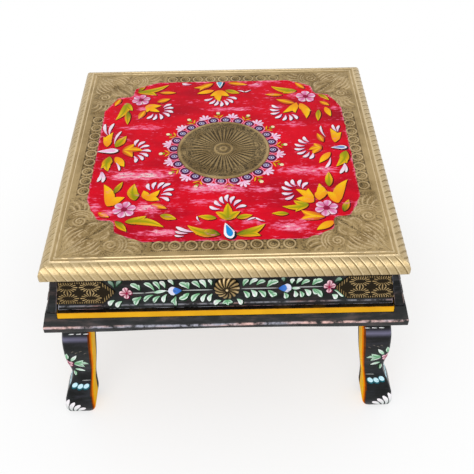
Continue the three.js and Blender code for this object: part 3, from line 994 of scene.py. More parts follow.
def brass_strips():
    pattern = mesh_from("strip pattern", bent_grid(STRIP_COLUMNS, EDGE_ROWS + FLAT_ROWS, strip_shape))
    for turn, side in enumerate(SIDES):
        bm = bmesh.new()
        bm.from_mesh(pattern)
        quarter_turned(bm, turn)
        name = f"embossed_{side}_border"
        thickened(finished(name, bm, OLD_BRASS, "table", "brass", [f"brass_border_{side}"]), SHEET)
    bpy.data.meshes.remove(pattern)


brass_strips()

# %% [markdown]
# ## Medallion
#
# A round plate of the same sheet, with a rolled rim, two rings in the middle and fine rays between them. It
# is a polar grid: the columns go round and the rows from the middle to the rim.

# %% Medallion
MEDALLION_SECTORS = 300
MEDALLION_RINGS = 64
RIM_AT = MEDALLION_RADIUS - 2.4
RING_AT = (3.6, 10.2)
RAYS = 44
RAY_FROM = 12
RAY_TO = 42


def medallion_shape(u, v):
    angle = u * TURN
    radius = v * MEDALLION_RADIUS
    rim = 0.68 * ridge(radius - RIM_AT, 1.2)
    rings = np.maximum.reduce([0.6 * ridge(radius - ring, 0.9) for ring in RING_AT])
    wave = np.cos(RAYS * angle + 1.1 * np.sin(5 * angle) + 0.6 * np.sin(9 * angle + 1))
    fine_wave = np.cos(2 * RAYS * angle + 2 * np.sin(3 * angle))
    ray = 0.25 * wave * beyond(radius, RAY_FROM - 1, RAY_FROM + 3) * within(radius, RAY_TO - 10, RAY_TO)
    fine = 0.12 * fine_wave * beyond(radius, 20, 30) * within(radius, 40, 46)
    relief = np.maximum(rim, rings) + ray + fine
    skirt = within(MEDALLION_RADIUS - radius, 0.2, 0.9)
    z = TABLE_Z + relief - 0.75 * skirt
    places = np.column_stack([radius * np.cos(angle), radius * np.sin(angle) + MEDALLION_Y, z])
    engraved = 0.22 * beyond(radius, RAY_TO - 8, RAY_TO) * within(radius, RIM_AT - 3, RIM_AT - 1)
    return places, {"relief": np.clip(0.15 + relief * 0.75, 0, 1), "polish": 0, "chase": 0.1 + engraved}


medallion = bent_grid(MEDALLION_SECTORS, MEDALLION_RINGS, medallion_shape)
merged(medallion, 0.005)
closed(medallion, [edge for edge in medallion.edges if edge.is_boundary])
finished("embossed_medallion", medallion, OLD_BRASS, "table", "brass", ["brass_medallion"])

# %% [markdown]
# ## Painted field
#
# The crimson ground is a skin of paint that laps a little over the edge of the brass, as a brush would
# leave it. Long streaks of it are rubbed pale, and the same list of streaks also wears the motifs that they
# cross. Each streak is an ellipse: its middle, its half lengths, and how far the paint is gone.

# %% Where the paint is rubbed
STREAKS = [
    (-100, 52, 34, 8, 0.75), (15, 88, 48, 8, 0.7), (88, 52, 30, 7, 0.6), (-97, -41, 46, 12, 1.0),
    (95, -39, 38, 10, 0.9), (-12, -68, 42, 10, 0.95), (40, -72, 24, 5, 0.7), (-24, -90, 20, 6, 0.8),
    (40, -98, 7, 4, 0.7), (72, -131, 30, 12, 0.95), (-68, -137, 30, 6, 0.95), (-84, -98, 17, 12, 0.85),
    (-125, -106, 10, 8, 0.8), (45, 143, 18, 8, 0.7), (75, 148, 9, 5, 0.6), (-47, 146, 10, 5, 0.75),
    (-115, 118, 12, 8, 0.7), (-104, 91, 10, 6, 0.7), (60, 118, 12, 7, 0.65), (92, 115, 11, 7, 0.6),
    (142, 86, 7, 6, 0.8), (-143, -96, 8, 14, 0.7), (32, -124, 16, 5, 0.7), (-30, -121, 14, 5, 0.7),
]


def rubbed(x, y):
    """How far the paint is rubbed away at a place on the top, from 0 to 1."""
    most = np.zeros_like(x, dtype=float) + 0.14
    for cx, cy, half_x, half_y, depth in STREAKS:
        far = np.hypot((x - cx) / half_x, (y - cy) / half_y)
        most = np.maximum(most, depth * within(far, 0, 1.6))
    return most


# %% Crimson ground
GROUND_SECTORS = 480
GROUND_RINGS = 90
LAP_RINGS = 3
GROUND_UP = 0.06
LAP_UP = 0.08
HARMONICS = 8


def uneven(values, scale, seed):
    """A smooth wavering between -1 and 1 that closes on itself round a circle."""
    waves = random.Random(seed)
    total = np.zeros_like(values)
    for harmonic in range(1, HARMONICS + 1):
        total = total + np.sin(harmonic * scale * values + waves.uniform(0, TURN)) / HARMONICS**0.5
    return total


def ground_shape(u, v):
    angle = u * TURN
    ring = np.rint(v * (GROUND_RINGS + LAP_RINGS))
    edge = field_radius(angle)
    lap = np.clip(0.55 + 0.55 * uneven(angle, 7, 3), 0.1, 1.6)
    inside = (edge - 0.25) * np.minimum(ring / GROUND_RINGS, 1)
    past = np.clip((ring - GROUND_RINGS) / LAP_RINGS, 0, 1)
    radius = np.where(past > 0, edge + lap * (past - 1 / LAP_RINGS), inside)
    up = np.where(past > 0, TABLE_Z + LAP_UP * (1 - past**2), FIELD_Z + GROUND_UP)
    x = radius * np.cos(angle)
    y = radius * np.sin(angle)
    scuffed_rim = 0.6 * within(edge - radius, 0.2, 3.2)
    return np.column_stack([x, y, up]), {"rub": np.maximum(rubbed(x, y), scuffed_rim)}


ground = bent_grid(GROUND_SECTORS, GROUND_RINGS + LAP_RINGS, ground_shape)
merged(ground, 0.002)
thickened(finished("crimson_ground", ground, CRIMSON_PAINT, "table", "red_paint", weld=0.002), 0.05)

# %% [markdown]
# ## Brush strokes
#
# The folk painter builds every motif from a few strokes: leaves that are pointed at both ends, petals that
# swell towards a round end, and tapering lines. Each stroke here is a small grid of its own, bent along its
# path, slightly raised in the middle as thick paint is, and closed underneath. Its vertices carry the
# colour, so one stroke can run from orange to yellow with an olive heart, as a loaded brush leaves it. A
# dark stroke under each one, a little wider and shifted, gives the outline.

# %% One brush stroke
STROKE_STEPS = 12
STROKE_LANES = 6
DARK_UP = 0.02
PAINT_UP = 0.1
TOP_UP = 0.24
STROKE_LIFT = 0.16
STROKE_RUB = 0.12
FAN_WIDTH = 4.8
FAN_LENGTH = 12.6

FORMS = {
    "leaf": lambda u: math.sin(math.pi * u**0.82) ** 0.85,
    "petal": lambda u: (u / 0.64) ** 0.7 if u < 0.64 else max(0, 1 - ((u - 0.64) / 0.36) ** 2) ** 0.5,
    "oval": lambda u: max(0, 1 - (2 * u - 1) ** 2) ** 0.5,
    "line": lambda u: min(1, 3 * max(0, u * (1 - u))) ** 0.5,
}


def toward(first, second, share):
    """The place or colour a share of the way from the first to the second."""
    return tuple(a + (b - a) * share for a, b in zip(first, second))


def mix(first, second, amount):
    return toward(first, second, min(max(amount, 0), 1))


def stroke_colour(look, u, v, lower):
    """A look is its colours at the root and the tip, in its heart and along its lower side."""
    root, tip, heart, shade = look
    colour = mix(root, tip, u * u * (3 - 2 * u))
    if shade:
        colour = mix(colour, shade, (lower - 0.25) * 1.1)
    if heart:
        colour = mix(colour, heart, (1.25 - abs(v) / 0.34) * min(1, 5 * u * (1.08 - u)))
    return colour


def painting():
    """A bmesh whose vertices carry a paint colour and how far it is rubbed."""
    bm = bmesh.new()
    bm.verts.layers.float_color.new("paint")
    bm.verts.layers.float.new("rub")
    return bm


def stroke(bm, lay, start, tip, width, look, form="leaf", bend=0.0, up=PAINT_UP):
    """lay(a, b, height) puts a place of the painting on the piece that is painted."""
    made = bmesh.ops.create_grid(bm, x_segments=STROKE_STEPS, y_segments=STROKE_LANES, size=0.5)["verts"]
    paint = bm.verts.layers.float_color["paint"]
    rub = bm.verts.layers.float["rub"]
    length = math.dist(start, tip)
    ahead = ((tip[0] - start[0]) / length, (tip[1] - start[1]) / length)
    below = 1 if ahead[0] >= 0 else -1
    for vert in made:
        u = 0.5 - 0.5 * math.cos(math.pi * (vert.co.x + 0.5))
        v = 2 * vert.co.y
        half = width / 2 * FORMS[form](u)
        aside = v * half + bend * length * 4 * u * (1 - u)
        a = start[0] + ahead[0] * u * length - ahead[1] * aside
        b = start[1] + ahead[1] * u * length + ahead[0] * aside
        height = up + STROKE_LIFT * max(0, 1 - v * v) ** 0.5 * min(1, half)
        vert[paint] = stroke_colour(look, u, v, -v * below)
        vert[rub] = STROKE_RUB
        vert.co = lay(a, b, height)
    bmesh.ops.remove_doubles(bm, verts=made, dist=0.004)
    rim = {edge for vert in made if vert.is_valid for edge in vert.link_edges if edge.is_boundary}
    closed(bm, list(rim))


def plain(colour):
    return (colour, colour, None, None)


def outlined(bm, lay, start, tip, width, look, dark, form="leaf", bend=0.0, edge=1.2):
    """A stroke over a wider dark one that shows most along its lower right side."""
    share = edge / 2 / math.dist(start, tip)
    shift = edge * 0.45
    ends = (toward(start, tip, -share), toward(tip, start, -share))
    dark_start, dark_tip = ((a + shift, b - shift) for a, b in ends)
    stroke(bm, lay, dark_start, dark_tip, width + edge, plain(dark), form, bend, DARK_UP)
    stroke(bm, lay, start, tip, width, look, form, bend)


def disc(bm, lay, middle, radius, colour, up):
    west, east = (middle[0] - radius, middle[1]), (middle[0] + radius, middle[1])
    stroke(bm, lay, west, east, 2 * radius, plain(colour), "oval", 0, up)


def spray(bm, lay, base, tips, width, look, dark, curl=0.0, form="leaf"):
    """A leaf with one to four tips: its lobes curve away from each other."""
    mean_a = sum(tip[0] for tip in tips) / len(tips) - base[0]
    mean_b = sum(tip[1] for tip in tips) / len(tips) - base[1]
    for tip in tips:
        side = (tip[0] - base[0]) * mean_b - (tip[1] - base[1]) * mean_a
        bend = curl if len(tips) == 1 else 0.11 * (1 if side > 1 else -1 if side < -1 else 0)
        outlined(bm, lay, base, tip, width, look, dark, form, bend)


def blossom(bm, lay, middle, radius, petals, look, dark, turn=0.3):
    """Round petals from a middle, each over a dark one, and a small dark heart."""
    width = 1.42 * radius * math.sin(math.pi / petals)
    for petal in range(petals):
        angle = turn + petal * TURN / petals
        near = round_place(middle, 0.12 * radius, angle)
        outlined(bm, lay, near, round_place(middle, radius, angle), width, look, dark, "petal")
    disc(bm, lay, middle, 0.28 * radius, dark, TOP_UP)


def fan(bm, lay, middle, points, look, dark):
    """Small strokes that stand round a middle like the rays of a crown."""
    for point in points:
        share = FAN_LENGTH / 2 / math.dist(middle, point)
        start, tip = toward(point, middle, share), toward(point, middle, -share)
        outlined(bm, lay, start, tip, FAN_WIDTH, look, dark, "petal", 0.13, 1.1)


# %% [markdown]
# The field has one spray of leaves with a pink flower in each corner, and a smaller spray with a drop in the
# middle of each side. The painter didn't repeat them exactly, so each is listed as it is: the places are
# millimetres from the middle of the top.

# %% Looks of the strokes on the field
YELLOW_LEAF = (LEAF_ORANGE, LEAF_YELLOW, None, LEAF_ORANGE)
OLIVE_LEAF = (OLIVE, LEAF_YELLOW, OLIVE, LEAF_ORANGE)
GREEN_LEAF = (DEEP_GREEN, LEAF_YELLOW, OLIVE, LEAF_ORANGE)
ORANGE_LEAF = (RUST, LEAF_ORANGE, LEAF_YELLOW, RUST)
WHITE_STROKE = (LILAC, PAINT_WHITE, None, None)
FAN_SHADE = tone(72, 8, 56)
PINK_PETAL = (tone(196, 40, 104), LILAC, tone(222, 112, 170), PAINT_WHITE)

# %% Leaves of the field: base, tips, width, look
FIELD_LEAVES = [
    ((-128, -94), [(-136, -57), (-110, -80)], 12, YELLOW_LEAF),
    ((-123, -73), [(-115, -53)], 7, GREEN_LEAF),
    ((-98, -85), [(-101, -57), (-107, -69)], 12, OLIVE_LEAF),
    ((-88, -83), [(-90, -69), (-72, -69), (-71, -86)], 9, YELLOW_LEAF),
    ((-80, -92), [(-62, -100)], 8, ORANGE_LEAF),
    ((-69, -110), [(-51, -117)], 9, OLIVE_LEAF),
    ((-106, -120), [(-64, -129), (-84, -111)], 11, OLIVE_LEAF),
    ((-117, -118), [(-103, -135)], 8, GREEN_LEAF),
    ((-137, -104), [(-124, -112)], 8, ORANGE_LEAF),
    ((126, -96), [(141, -57), (115, -77)], 12, YELLOW_LEAF),
    ((119, -68), [(121, -42)], 9, OLIVE_LEAF),
    ((105, -91), [(108, -63), (114, -73)], 12, YELLOW_LEAF),
    ((99, -94), [(81, -72), (95, -71), (80, -88)], 10, YELLOW_LEAF),
    ((93, -98), [(64, -100), (78, -109), (77, -91)], 9, OLIVE_LEAF),
    ((70, -112), [(52, -111)], 7, OLIVE_LEAF),
    ((109, -118), [(84, -107), (82, -122)], 12, ORANGE_LEAF),
    ((118, -125), [(98, -138)], 10, YELLOW_LEAF),
    ((130, -110), [(138, -91)], 8, GREEN_LEAF),
    ((-113, 130), [(-72, 147), (-87, 122)], 10, OLIVE_LEAF),
    ((-112, 132), [(-103, 147)], 6, GREEN_LEAF),
    ((-84, 128), [(-62, 127)], 8, ORANGE_LEAF),
    ((-86, 106), [(-69, 113)], 10, ORANGE_LEAF),
    ((-98, 100), [(-98, 84), (-81, 84), (-80, 98)], 9, YELLOW_LEAF),
    ((-100, 88), [(-107, 69)], 9, ORANGE_LEAF),
    ((-122, 87), [(-120, 58)], 8, GREEN_LEAF),
    ((-126, 106), [(-136, 68), (-116, 88)], 11, OLIVE_LEAF),
    ((-134, 116), [(-140, 99)], 8, ORANGE_LEAF),
    ((97, 127), [(64, 138), (79, 121)], 11, OLIVE_LEAF),
    ((108, 131), [(96, 147)], 8, ORANGE_LEAF),
    ((78, 117), [(55, 119)], 8, ORANGE_LEAF),
    ((93, 97), [(69, 107)], 10, ORANGE_LEAF),
    ((95, 99), [(76, 77), (92, 76)], 10, YELLOW_LEAF),
    ((99, 97), [(105, 64), (112, 79)], 11, YELLOW_LEAF),
    ((122, 82), [(119, 58)], 7, OLIVE_LEAF),
    ((124, 122), [(138, 103)], 8, GREEN_LEAF),
    ((125, 101), [(137, 91)], 8, ORANGE_LEAF),
    ((131, 88), [(136, 67)], 8, YELLOW_LEAF),
    ((-140, 13), [(-136, 42), (-147, 33)], 10, YELLOW_LEAF),
    ((-130, 12), [(-119, 34)], 11, OLIVE_LEAF),
    ((-121, 5), [(-108, 18), (-96, 4), (-108, -8)], 10, ORANGE_LEAF),
    ((-135, -6), [(-143, -28), (-134, -34)], 11, OLIVE_LEAF),
    ((-128, -7), [(-116, -26)], 10, YELLOW_LEAF),
    ((135, 13), [(132, 41), (145, 33)], 10, YELLOW_LEAF),
    ((121, 14), [(115, 32)], 8, ORANGE_LEAF),
    ((118, 3), [(106, -9), (102, -1), (109, 12)], 9, ORANGE_LEAF),
    ((146, -4), [(131, -33), (144, -28)], 11, OLIVE_LEAF),
    ((127, -6), [(112, -26)], 9, YELLOW_LEAF),
    ((-13, 148), [(-39, 138), (-31, 131)], 10, ORANGE_LEAF),
    ((-12, 131), [(-34, 124)], 9, YELLOW_LEAF),
    ((-4, 131), [(-17, 118), (-4, 104), (8, 117)], 10, YELLOW_LEAF),
    ((6, 149), [(33, 143)], 9, ORANGE_LEAF),
    ((3, 131), [(22, 123)], 9, OLIVE_LEAF),
    ((-4, -142), [(-39, -127), (-30, -141)], 11, GREEN_LEAF),
    ((13, -142), [(44, -127), (39, -145)], 11, GREEN_LEAF),
    ((4.5, -120), [(4.5, -93), (-9, -107), (18, -107)], 10, OLIVE_LEAF),
    ((-8, -117), [(-28, -113)], 8, OLIVE_LEAF),
    ((14, -117), [(31, -113)], 8, OLIVE_LEAF),
]

# %% Flowers: middle, radius and number of petals
FIELD_FLOWERS = [
    ((-109, -100), 13, 6), ((112, -104), 13, 6), ((-107, 112), 12, 6), ((108, 112.5), 13, 5),
]

# %% Crowns of white strokes: middle, and the middle of each stroke
FIELD_FANS = [
    ((-80, -76), [(-84, -63), (-78, -61), (-71, -61), (-65, -62), (-62, -70), (-64, -77), (-66, -84)]),
    ((85, -77), [(73, -85), (71, -78), (71, -70), (74, -63), (80, -61), (87, -62), (92, -66)]),
    ((-84, 88), [(-72, 97), (-70, 91), (-70, 84), (-73, 78), (-80, 74), (-87, 73), (-93, 75)]),
    ((82, 82), [(68, 91), (66, 84), (66, 77), (70, 70), (77, 66), (84, 66), (90, 68)]),
    ((-109, 4), [(-105, 20), (-99, 17), (-95, 11), (-93, 3), (-95, -4), (-99, -9), (-105, -12)]),
    ((110, 4), [(101, 20), (96, 16), (92, 9), (91, 2), (93, -5), (98, -10), (104, -12)]),
    ((-4, 118), [(-19, 111), (-14, 105), (-9, 102), (-3, 100), (3, 102), (8, 106), (12, 112)]),
    ((4.5, -106), [(-10, -100), (-6, -93), (-1, -88), (4.5, -85), (10, -88), (15, -93), (19, -100)]),
]

# %% Loose white strokes: start, tip and width
FIELD_STREAMERS = [
    ((-142, 36), (-148, 60), 4.5), ((-140, 36), (-137, 61), 4.5), ((-132, 18), (-126, 44), 3.6),
    ((-127, -17), (-121, -33), 3), ((-142, -34), (-144, -52), 4.6), ((-141, -34), (-138, -53), 5),
    ((140, 34), (136, 49), 4), ((141, 34), (144, 47), 4), ((125, 24), (121, 47), 3),
    ((126, -16), (118, -36), 4), ((141, -27), (134, -46), 5), ((141, -27), (141, -44), 3.6),
    ((-32, -137), (-51, -129), 5), ((-38, -139), (-52, -136), 3.6), ((-42, -143), (-52, -142), 3),
    ((23, -123), (34, -117), 2.6), ((44, -123), (34, -117), 2.6), ((-26, -122), (-29, -113), 2),
    ((19, 130), (28, 126), 2.6), ((37, 131), (28, 126), 2.6), ((-42, 147), (-55, 149), 5),
    ((37, 142), (48, 144), 4),
]

# %% Drops in the middle of each side: start, tip, width
FIELD_DROPS = [
    ((-151, 4), (-126, 5), 10, LILAC), ((129, 3), (148, 3), 8, tone(120, 150, 210)),
    ((-4, 137), (-4, 156), 10, tone(90, 190, 215)), ((1.5, -124.5), (8, -148), 12, SKY),
]
print("motifs on the field:", len(FIELD_LEAVES) + len(FIELD_FLOWERS) + len(FIELD_FANS) + len(FIELD_DROPS))

# %% Paint the field
STROKE_HOLD = 0.86


def on_field(a, b, height):
    return Vector((a, b, FIELD_Z + GROUND_UP + height))


def painted_field(name, bm):
    """Rubs the strokes where the ground under them is rubbed, and makes the piece."""
    rub = bm.verts.layers.float["rub"]
    places = np.array([vert.co for vert in bm.verts])
    for vert, share in zip(bm.verts, rubbed(places[:, 0], places[:, 1])):
        vert[rub] = STROKE_HOLD * share
    finished(name, bm, FIELD_STROKES, "table", "red_paint")


def field_leaves():
    bm = painting()
    for base, tips, width, look in FIELD_LEAVES:
        spray(bm, on_field, base, tips, width, look, OUTLINE)
    painted_field("field_leaves", bm)


def field_flowers():
    bm = painting()
    for middle, radius, petals in FIELD_FLOWERS:
        blossom(bm, on_field, middle, radius, petals, PINK_PETAL, MAROON)
    for middle, points in FIELD_FANS:
        fan(bm, on_field, middle, points, WHITE_STROKE, FAN_SHADE)
    for start, tip, width in FIELD_STREAMERS:
        outlined(bm, on_field, start, tip, width, WHITE_STROKE, OUTLINE, "petal", 0.08)
    for start, tip, width, core in FIELD_DROPS:
        dark = OUTLINE if core == LILAC else tone(30, 24, 40)
        outlined(bm, on_field, start, tip, width, plain(PAINT_WHITE), dark, "petal", 0, 2.2)
        heart = (toward(start, tip, 0.12), toward(start, tip, 0.88))
        stroke(bm, on_field, *heart, width * 0.6, plain(core), "petal", 0.03, TOP_UP)
    painted_field("field_flowers", bm)


field_leaves()
field_flowers()

# %% [markdown]
# Round the medallion runs a ring of twenty-four scallops: a pink arc, wine-red and purple inside it, and a
# pale eye with a slate pupil. In the gaps stand pink crowns and cream buds in turn.

# %% Ring of scallops
SCALLOPS = 24
SCALLOP_RING = 59.5
SCALLOP_TURN = math.radians(-3)
CROWN_TURN = math.radians(-10)
BUD_TURN = math.radians(5)
CROWN_FOOT = 64.5
CROWN_REACH = 75
STEP = TURN / SCALLOPS
CROWN_LOOK = (LILAC, tone(250, 214, 234), None, None)
CREAM = tone(250, 230, 188)
SCALLOP_LAYERS = [
    (7.3, tone(250, 158, 194), 0.02), (6.4, tone(136, 6, 48), 0.1),
    (5.6, tone(72, 14, 66), 0.17), (3.6, tone(192, 184, 222), 0.24),
    (2.5, tone(60, 58, 110), 0.31), (1.1, PAINT_WHITE, 0.38),
]


def round_medallion(radius, angle):
    return round_place((0, MEDALLION_Y), radius, angle)


def scallop_ring():
    bm = painting()
    for index in range(SCALLOPS):
        middle = round_medallion(SCALLOP_RING, SCALLOP_TURN + index * STEP)
        for radius, colour, up in SCALLOP_LAYERS:
            disc(bm, on_field, middle, radius, colour, up)
    for index in range(SCALLOPS // 2):
        turn = CROWN_TURN + 2 * index * STEP
        foot = round_medallion(CROWN_FOOT, turn)
        for lean in (-1.25, -0.62, 0, 0.62, 1.25):
            reach = CROWN_REACH - CROWN_FOOT - 1.6 * abs(lean)
            tip = round_place(foot, reach, turn + lean)
            outlined(bm, on_field, foot, tip, 3.4, CROWN_LOOK, MAROON, "petal", 0, 0.6)
        turn = BUD_TURN + 2 * index * STEP
        foot = round_medallion(CROWN_FOOT - 0.5, turn)
        for lean in (-0.75, 0.75):
            tip = round_place(foot, 9, turn + lean)
            outlined(bm, on_field, foot, tip, 3, ORANGE_LEAF, OUTLINE, "leaf", 0, 0.5)
        disc(bm, on_field, round_medallion(CROWN_REACH - 0.6, turn), 3.1, OUTLINE, DARK_UP)
        disc(bm, on_field, round_medallion(CROWN_REACH - 3.2, turn), 2.1, OLIVE, PAINT_UP)
        disc(bm, on_field, round_medallion(CROWN_REACH, turn), 2.4, CREAM, 0.17)
    painted_field("scallop_ring", bm)


scallop_ring()

# %% [markdown]
# ## Vine on the drawer front and the walls
#
# The body leans inwards, so a painter's place on it is a distance along the board and a height. The face of
# each board is read from the frame, and a small function puts any place of the painting on it.

# %% Leaning faces


def wall_face(node, turn):
    """lay(along, z, height) on the outer face of a board; turn 0 is the front, 1 the right side."""
    angle = turn * QUARTER
    out = Vector((round(math.sin(angle)), -round(math.cos(angle)), 0))
    along = Vector((round(math.cos(angle)), round(math.sin(angle)), 0))
    points = [vert.co / MM for vert in nodes[node].data.vertices]
    low_z = min(p.z for p in points)
    high_z = max(p.z for p in points)
    low_out = max(p.dot(out) for p in points if p.z < low_z + 0.5)
    high_out = max(p.dot(out) for p in points if p.z > high_z - 0.5)
    slope = (high_out - low_out) / (high_z - low_z)
    normal = (out + Vector((0, 0, -slope))).normalized()

    def lay(a, z, height):
        return along * a + out * (low_out + slope * (z - low_z)) + Vector((0, 0, z)) + normal * height

    return lay


DRAWER_FACE = wall_face("drawer_front", 0)
WALL_FACES = {
    "right": wall_face("side_wall_right", 1),
    "back": wall_face("back_wall", 2),
    "left": wall_face("side_wall_left", 3),
}
print("drawer face at its middle:", tuple(round(c, 1) for c in DRAWER_FACE(0, 209, 0)))

# %% [markdown]
# The vine is a grey stem with leaves above and below it, two buds and two five-petalled flowers. Its leaves
# are green at the root and white at the tip, over a dark green halo that is nearly lost in the black.

# %% Places of the vine: root, tips, width and look
VINE_LEAF = (tone(104, 166, 116), tone(206, 232, 214), VINE_GREEN, PAINT_WHITE)
VINE_PALE = (tone(142, 192, 154), PAINT_WHITE, MINT, PAINT_WHITE)
VINE_DIM = (tone(76, 108, 90), tone(140, 166, 150), None, None)
VINE_LEAVES = [
    ((-116.4, 214), [(-121.4, 222)], 4, VINE_DIM),
    ((-113.6, 215), [(-108.2, 222)], 4, VINE_DIM),
    ((-89.3, 209.9), [(-98.6, 217.7), (-91.4, 216.6)], 5.5, VINE_LEAF),
    ((-74.3, 209.2), [(-84.3, 218.5)], 5, VINE_LEAF),
    ((-68.6, 210.3), [(-74.6, 219.9)], 5, VINE_LEAF),
    ((-62.9, 212.4), [(-67.5, 220.3)], 5, VINE_PALE),
    ((-53.9, 215.6), [(-58.9, 222)], 4.5, VINE_PALE),
    ((-37.9, 210.3), [(-47.5, 217.8), (-39.3, 218.5)], 6, VINE_LEAF),
    ((-26.4, 211.4), [(-34.3, 219.2)], 5.5, VINE_LEAF),
    ((-20, 211.7), [(-26, 221)], 5.5, VINE_PALE),
    ((-14.3, 214.6), [(-17, 221.4)], 4, VINE_PALE),
    ((-117, 198.4), [(-123.6, 192)], 5.5, VINE_PALE),
    ((-109.3, 197), [(-115.7, 189.5)], 5.5, VINE_PALE),
    ((-88.6, 202), [(-98.2, 197.7), (-96, 192)], 6, VINE_LEAF),
    ((-75.7, 203.9), [(-86, 196)], 5, VINE_LEAF),
    ((-68.6, 202.4), [(-76, 194.6)], 5, VINE_LEAF),
    ((-61.4, 204.6), [(-65.7, 194.6)], 5, VINE_PALE),
    ((-52.1, 201.7), [(-57, 194), (-53, 190.5)], 4.6, VINE_LEAF),
    ((-37.9, 205.3), [(-48.6, 198.1), (-42.9, 198.9)], 6, VINE_LEAF),
    ((-26.4, 204.6), [(-35.4, 195.3)], 6, VINE_LEAF),
    ((-19.6, 203.9), [(-24.6, 194.2)], 5, VINE_PALE),
    ((-13.6, 203.9), [(-17.1, 194.6)], 5, VINE_PALE),
    ((-4.3, 195.3), [(-12.1, 190.6)], 6, VINE_PALE),
    ((2.1, 195.6), [(-3.6, 191.6), (3.2, 189), (7.9, 192.7)], 4.6, VINE_LEAF),
    ((12.1, 197), [(17.1, 189.9)], 5.5, VINE_PALE),
    ((19.3, 212.7), [(24.3, 220.6)], 5.5, VINE_LEAF),
    ((25.7, 214), [(34.3, 220.6)], 5, VINE_PALE),
    ((32.9, 213.4), [(42.1, 218.4)], 5, VINE_LEAF),
    ((43.6, 211.3), [(48.9, 219), (55.7, 217.7)], 6, VINE_LEAF),
    ((61.5, 217), [(60, 222)], 4, VINE_DIM),
    ((70, 214), [(71.8, 220.2)], 5, VINE_PALE),
    ((75, 214), [(80.7, 220.2)], 4.5, VINE_PALE),
    ((80, 212.7), [(88.6, 217.7)], 5, VINE_LEAF),
    ((91.4, 212.4), [(95.7, 219.2), (102.1, 218.1)], 6, VINE_LEAF),
    ((115, 215.3), [(122, 219.2)], 4.5, VINE_DIM),
    ((19.3, 206.3), [(24.3, 198.4)], 6, VINE_LEAF),
    ((27.1, 207.7), [(32.1, 199)], 6, VINE_PALE),
    ((35, 206.3), [(42.1, 199)], 6, VINE_LEAF),
    ((45, 207), [(54.3, 200.6), (51, 198.6)], 6, VINE_LEAF),
    ((62.1, 203.4), [(64.6, 196.3)], 6, VINE_LEAF),
    ((72.9, 205.6), [(74.3, 197.7)], 5.5, VINE_PALE),
    ((78.6, 204.9), [(81.4, 197.7)], 5.5, VINE_LEAF),
    ((83.6, 207), [(89.3, 199.1)], 6, VINE_PALE),
    ((92.1, 207.4), [(98.6, 201.7), (102.1, 197.4)], 6, VINE_LEAF),
    ((115, 205.3), [(125, 197.4)], 6, VINE_LEAF),
    ((112.9, 199.9), [(117.9, 194.6)], 6, VINE_PALE),
]
STEM = [
    [(-100, 206.5), (-85, 206.5), (-66, 208), (-46, 208.8), (-13, 208.8)],
    [(17, 209.3), (56, 209.3), (72, 209.8), (103, 210)],
]
STEM_LEAVES = [((-75, 206.7), (-61.4, 208.9), 4), ((70, 208.6), (79.3, 208.4), 3.5)]
VINE_FLOWERS = [
    ((-103.5, 206.5), [(-105.4, 213.5), (-111.4, 206.6), (-104.3, 200.2), (-98.4, 208)]),
    ((109.6, 209), [(109.6, 217.4), (115.8, 211.4), (103.8, 211.4), (109.2, 202.4)]),
]
VINE_BUDS = [((-59.8, 207.9), (-45.7, 208.9), (-54.8, 208.3)), ((69.8, 209.1), (56.1, 208.8), (65, 209.2))]
BUD_LOOK = (BUD_BLUE, tone(70, 124, 206), None, None)
VINE_PETAL = (MAROON, tone(252, 214, 224), tone(128, 16, 56), ROSE)
print("leaves on the vine:", len(VINE_LEAVES))

# %% Paint the vine
VINE_CURL = 0.13


def paint_vine(bm, lay, centre_flower=False):
    for line in STEM:
        for start, tip in zip(line, line[1:]):
            stroke(bm, lay, start, tip, 1.5, plain(STEM_GREY), "line", up=DARK_UP)
    for start, tip, width in STEM_LEAVES:
        outlined(bm, lay, start, tip, width, VINE_PALE, VINE_SHADE)
    for base, tips, width, look in VINE_LEAVES:
        curl = math.copysign(VINE_CURL, tips[0][0] - base[0]) if len(tips) == 1 else 0
        spray(bm, lay, base, tips, width, look, VINE_SHADE, curl, "petal" if len(tips) < 3 else "leaf")
    for middle, petals in VINE_FLOWERS:
        for tip in petals:
            outlined(bm, lay, middle, tip, 5.8, VINE_PETAL, WINE, "petal", 0, 1)
        disc(bm, lay, middle, 1.3, MAROON, TOP_UP)
    for start, tip, core in VINE_BUDS:
        outlined(bm, lay, tip, start, 10.6, plain(tone(216, 218, 236)), VINE_SHADE, "petal")
        stroke(bm, lay, tip, core, 8.2, BUD_LOOK, "petal", up=TOP_UP)
    if centre_flower:
        blossom(bm, lay, (2, 209), 12, 6, VINE_PETAL, MAROON)
    return bm


finished("drawer_vine", paint_vine(painting(), DRAWER_FACE), VINE_STROKES, "drawer", "black_paint")

# %% [markdown]
# The photograph shows a little paint and brass on the side walls too, so they carry the same vine. There is
# no knob there, and a painted flower takes its place.

# %% Vines on the other walls
for side, lay in WALL_FACES.items():
    finished(f"{side}_vine", paint_vine(painting(), lay, True), VINE_STROKES, "table", "black_paint")

# %% [markdown]
# ## Painted legs
#
# The two outer faces of each leg carry a flower that wraps round the corner, leaves, white dashes at the
# knee, three blue dots at the ankle and a few white strokes that rise from the foot; the lilac-grey band
# across the knee is a painted highlight in the leg's black paint. A place on a leg is its distance round
# from the outer corner and its height.

# %% Places on a leg


def leg_lay(mirror):
    """lay(s, z, height): s runs from the corner onto the back face, or onto the right one if mirrored."""

    def lay(s, z, height):
        reach = leg_faces(z)[1]
        middle = reach - LEG_ROUND
        way = -s if mirror else s
        turn = math.radians(45 + 45 * max(-1, min(1, way / LEG_ROUND)))
        x = middle + (LEG_ROUND + height) * math.cos(turn)
        y = middle + (LEG_ROUND + height) * math.sin(turn)
        past = abs(way) - LEG_ROUND
        if past > 0:
            x, y = (x - past, y) if way > 0 else (x, y - past)
        return Vector((x, y, z))

    return lay


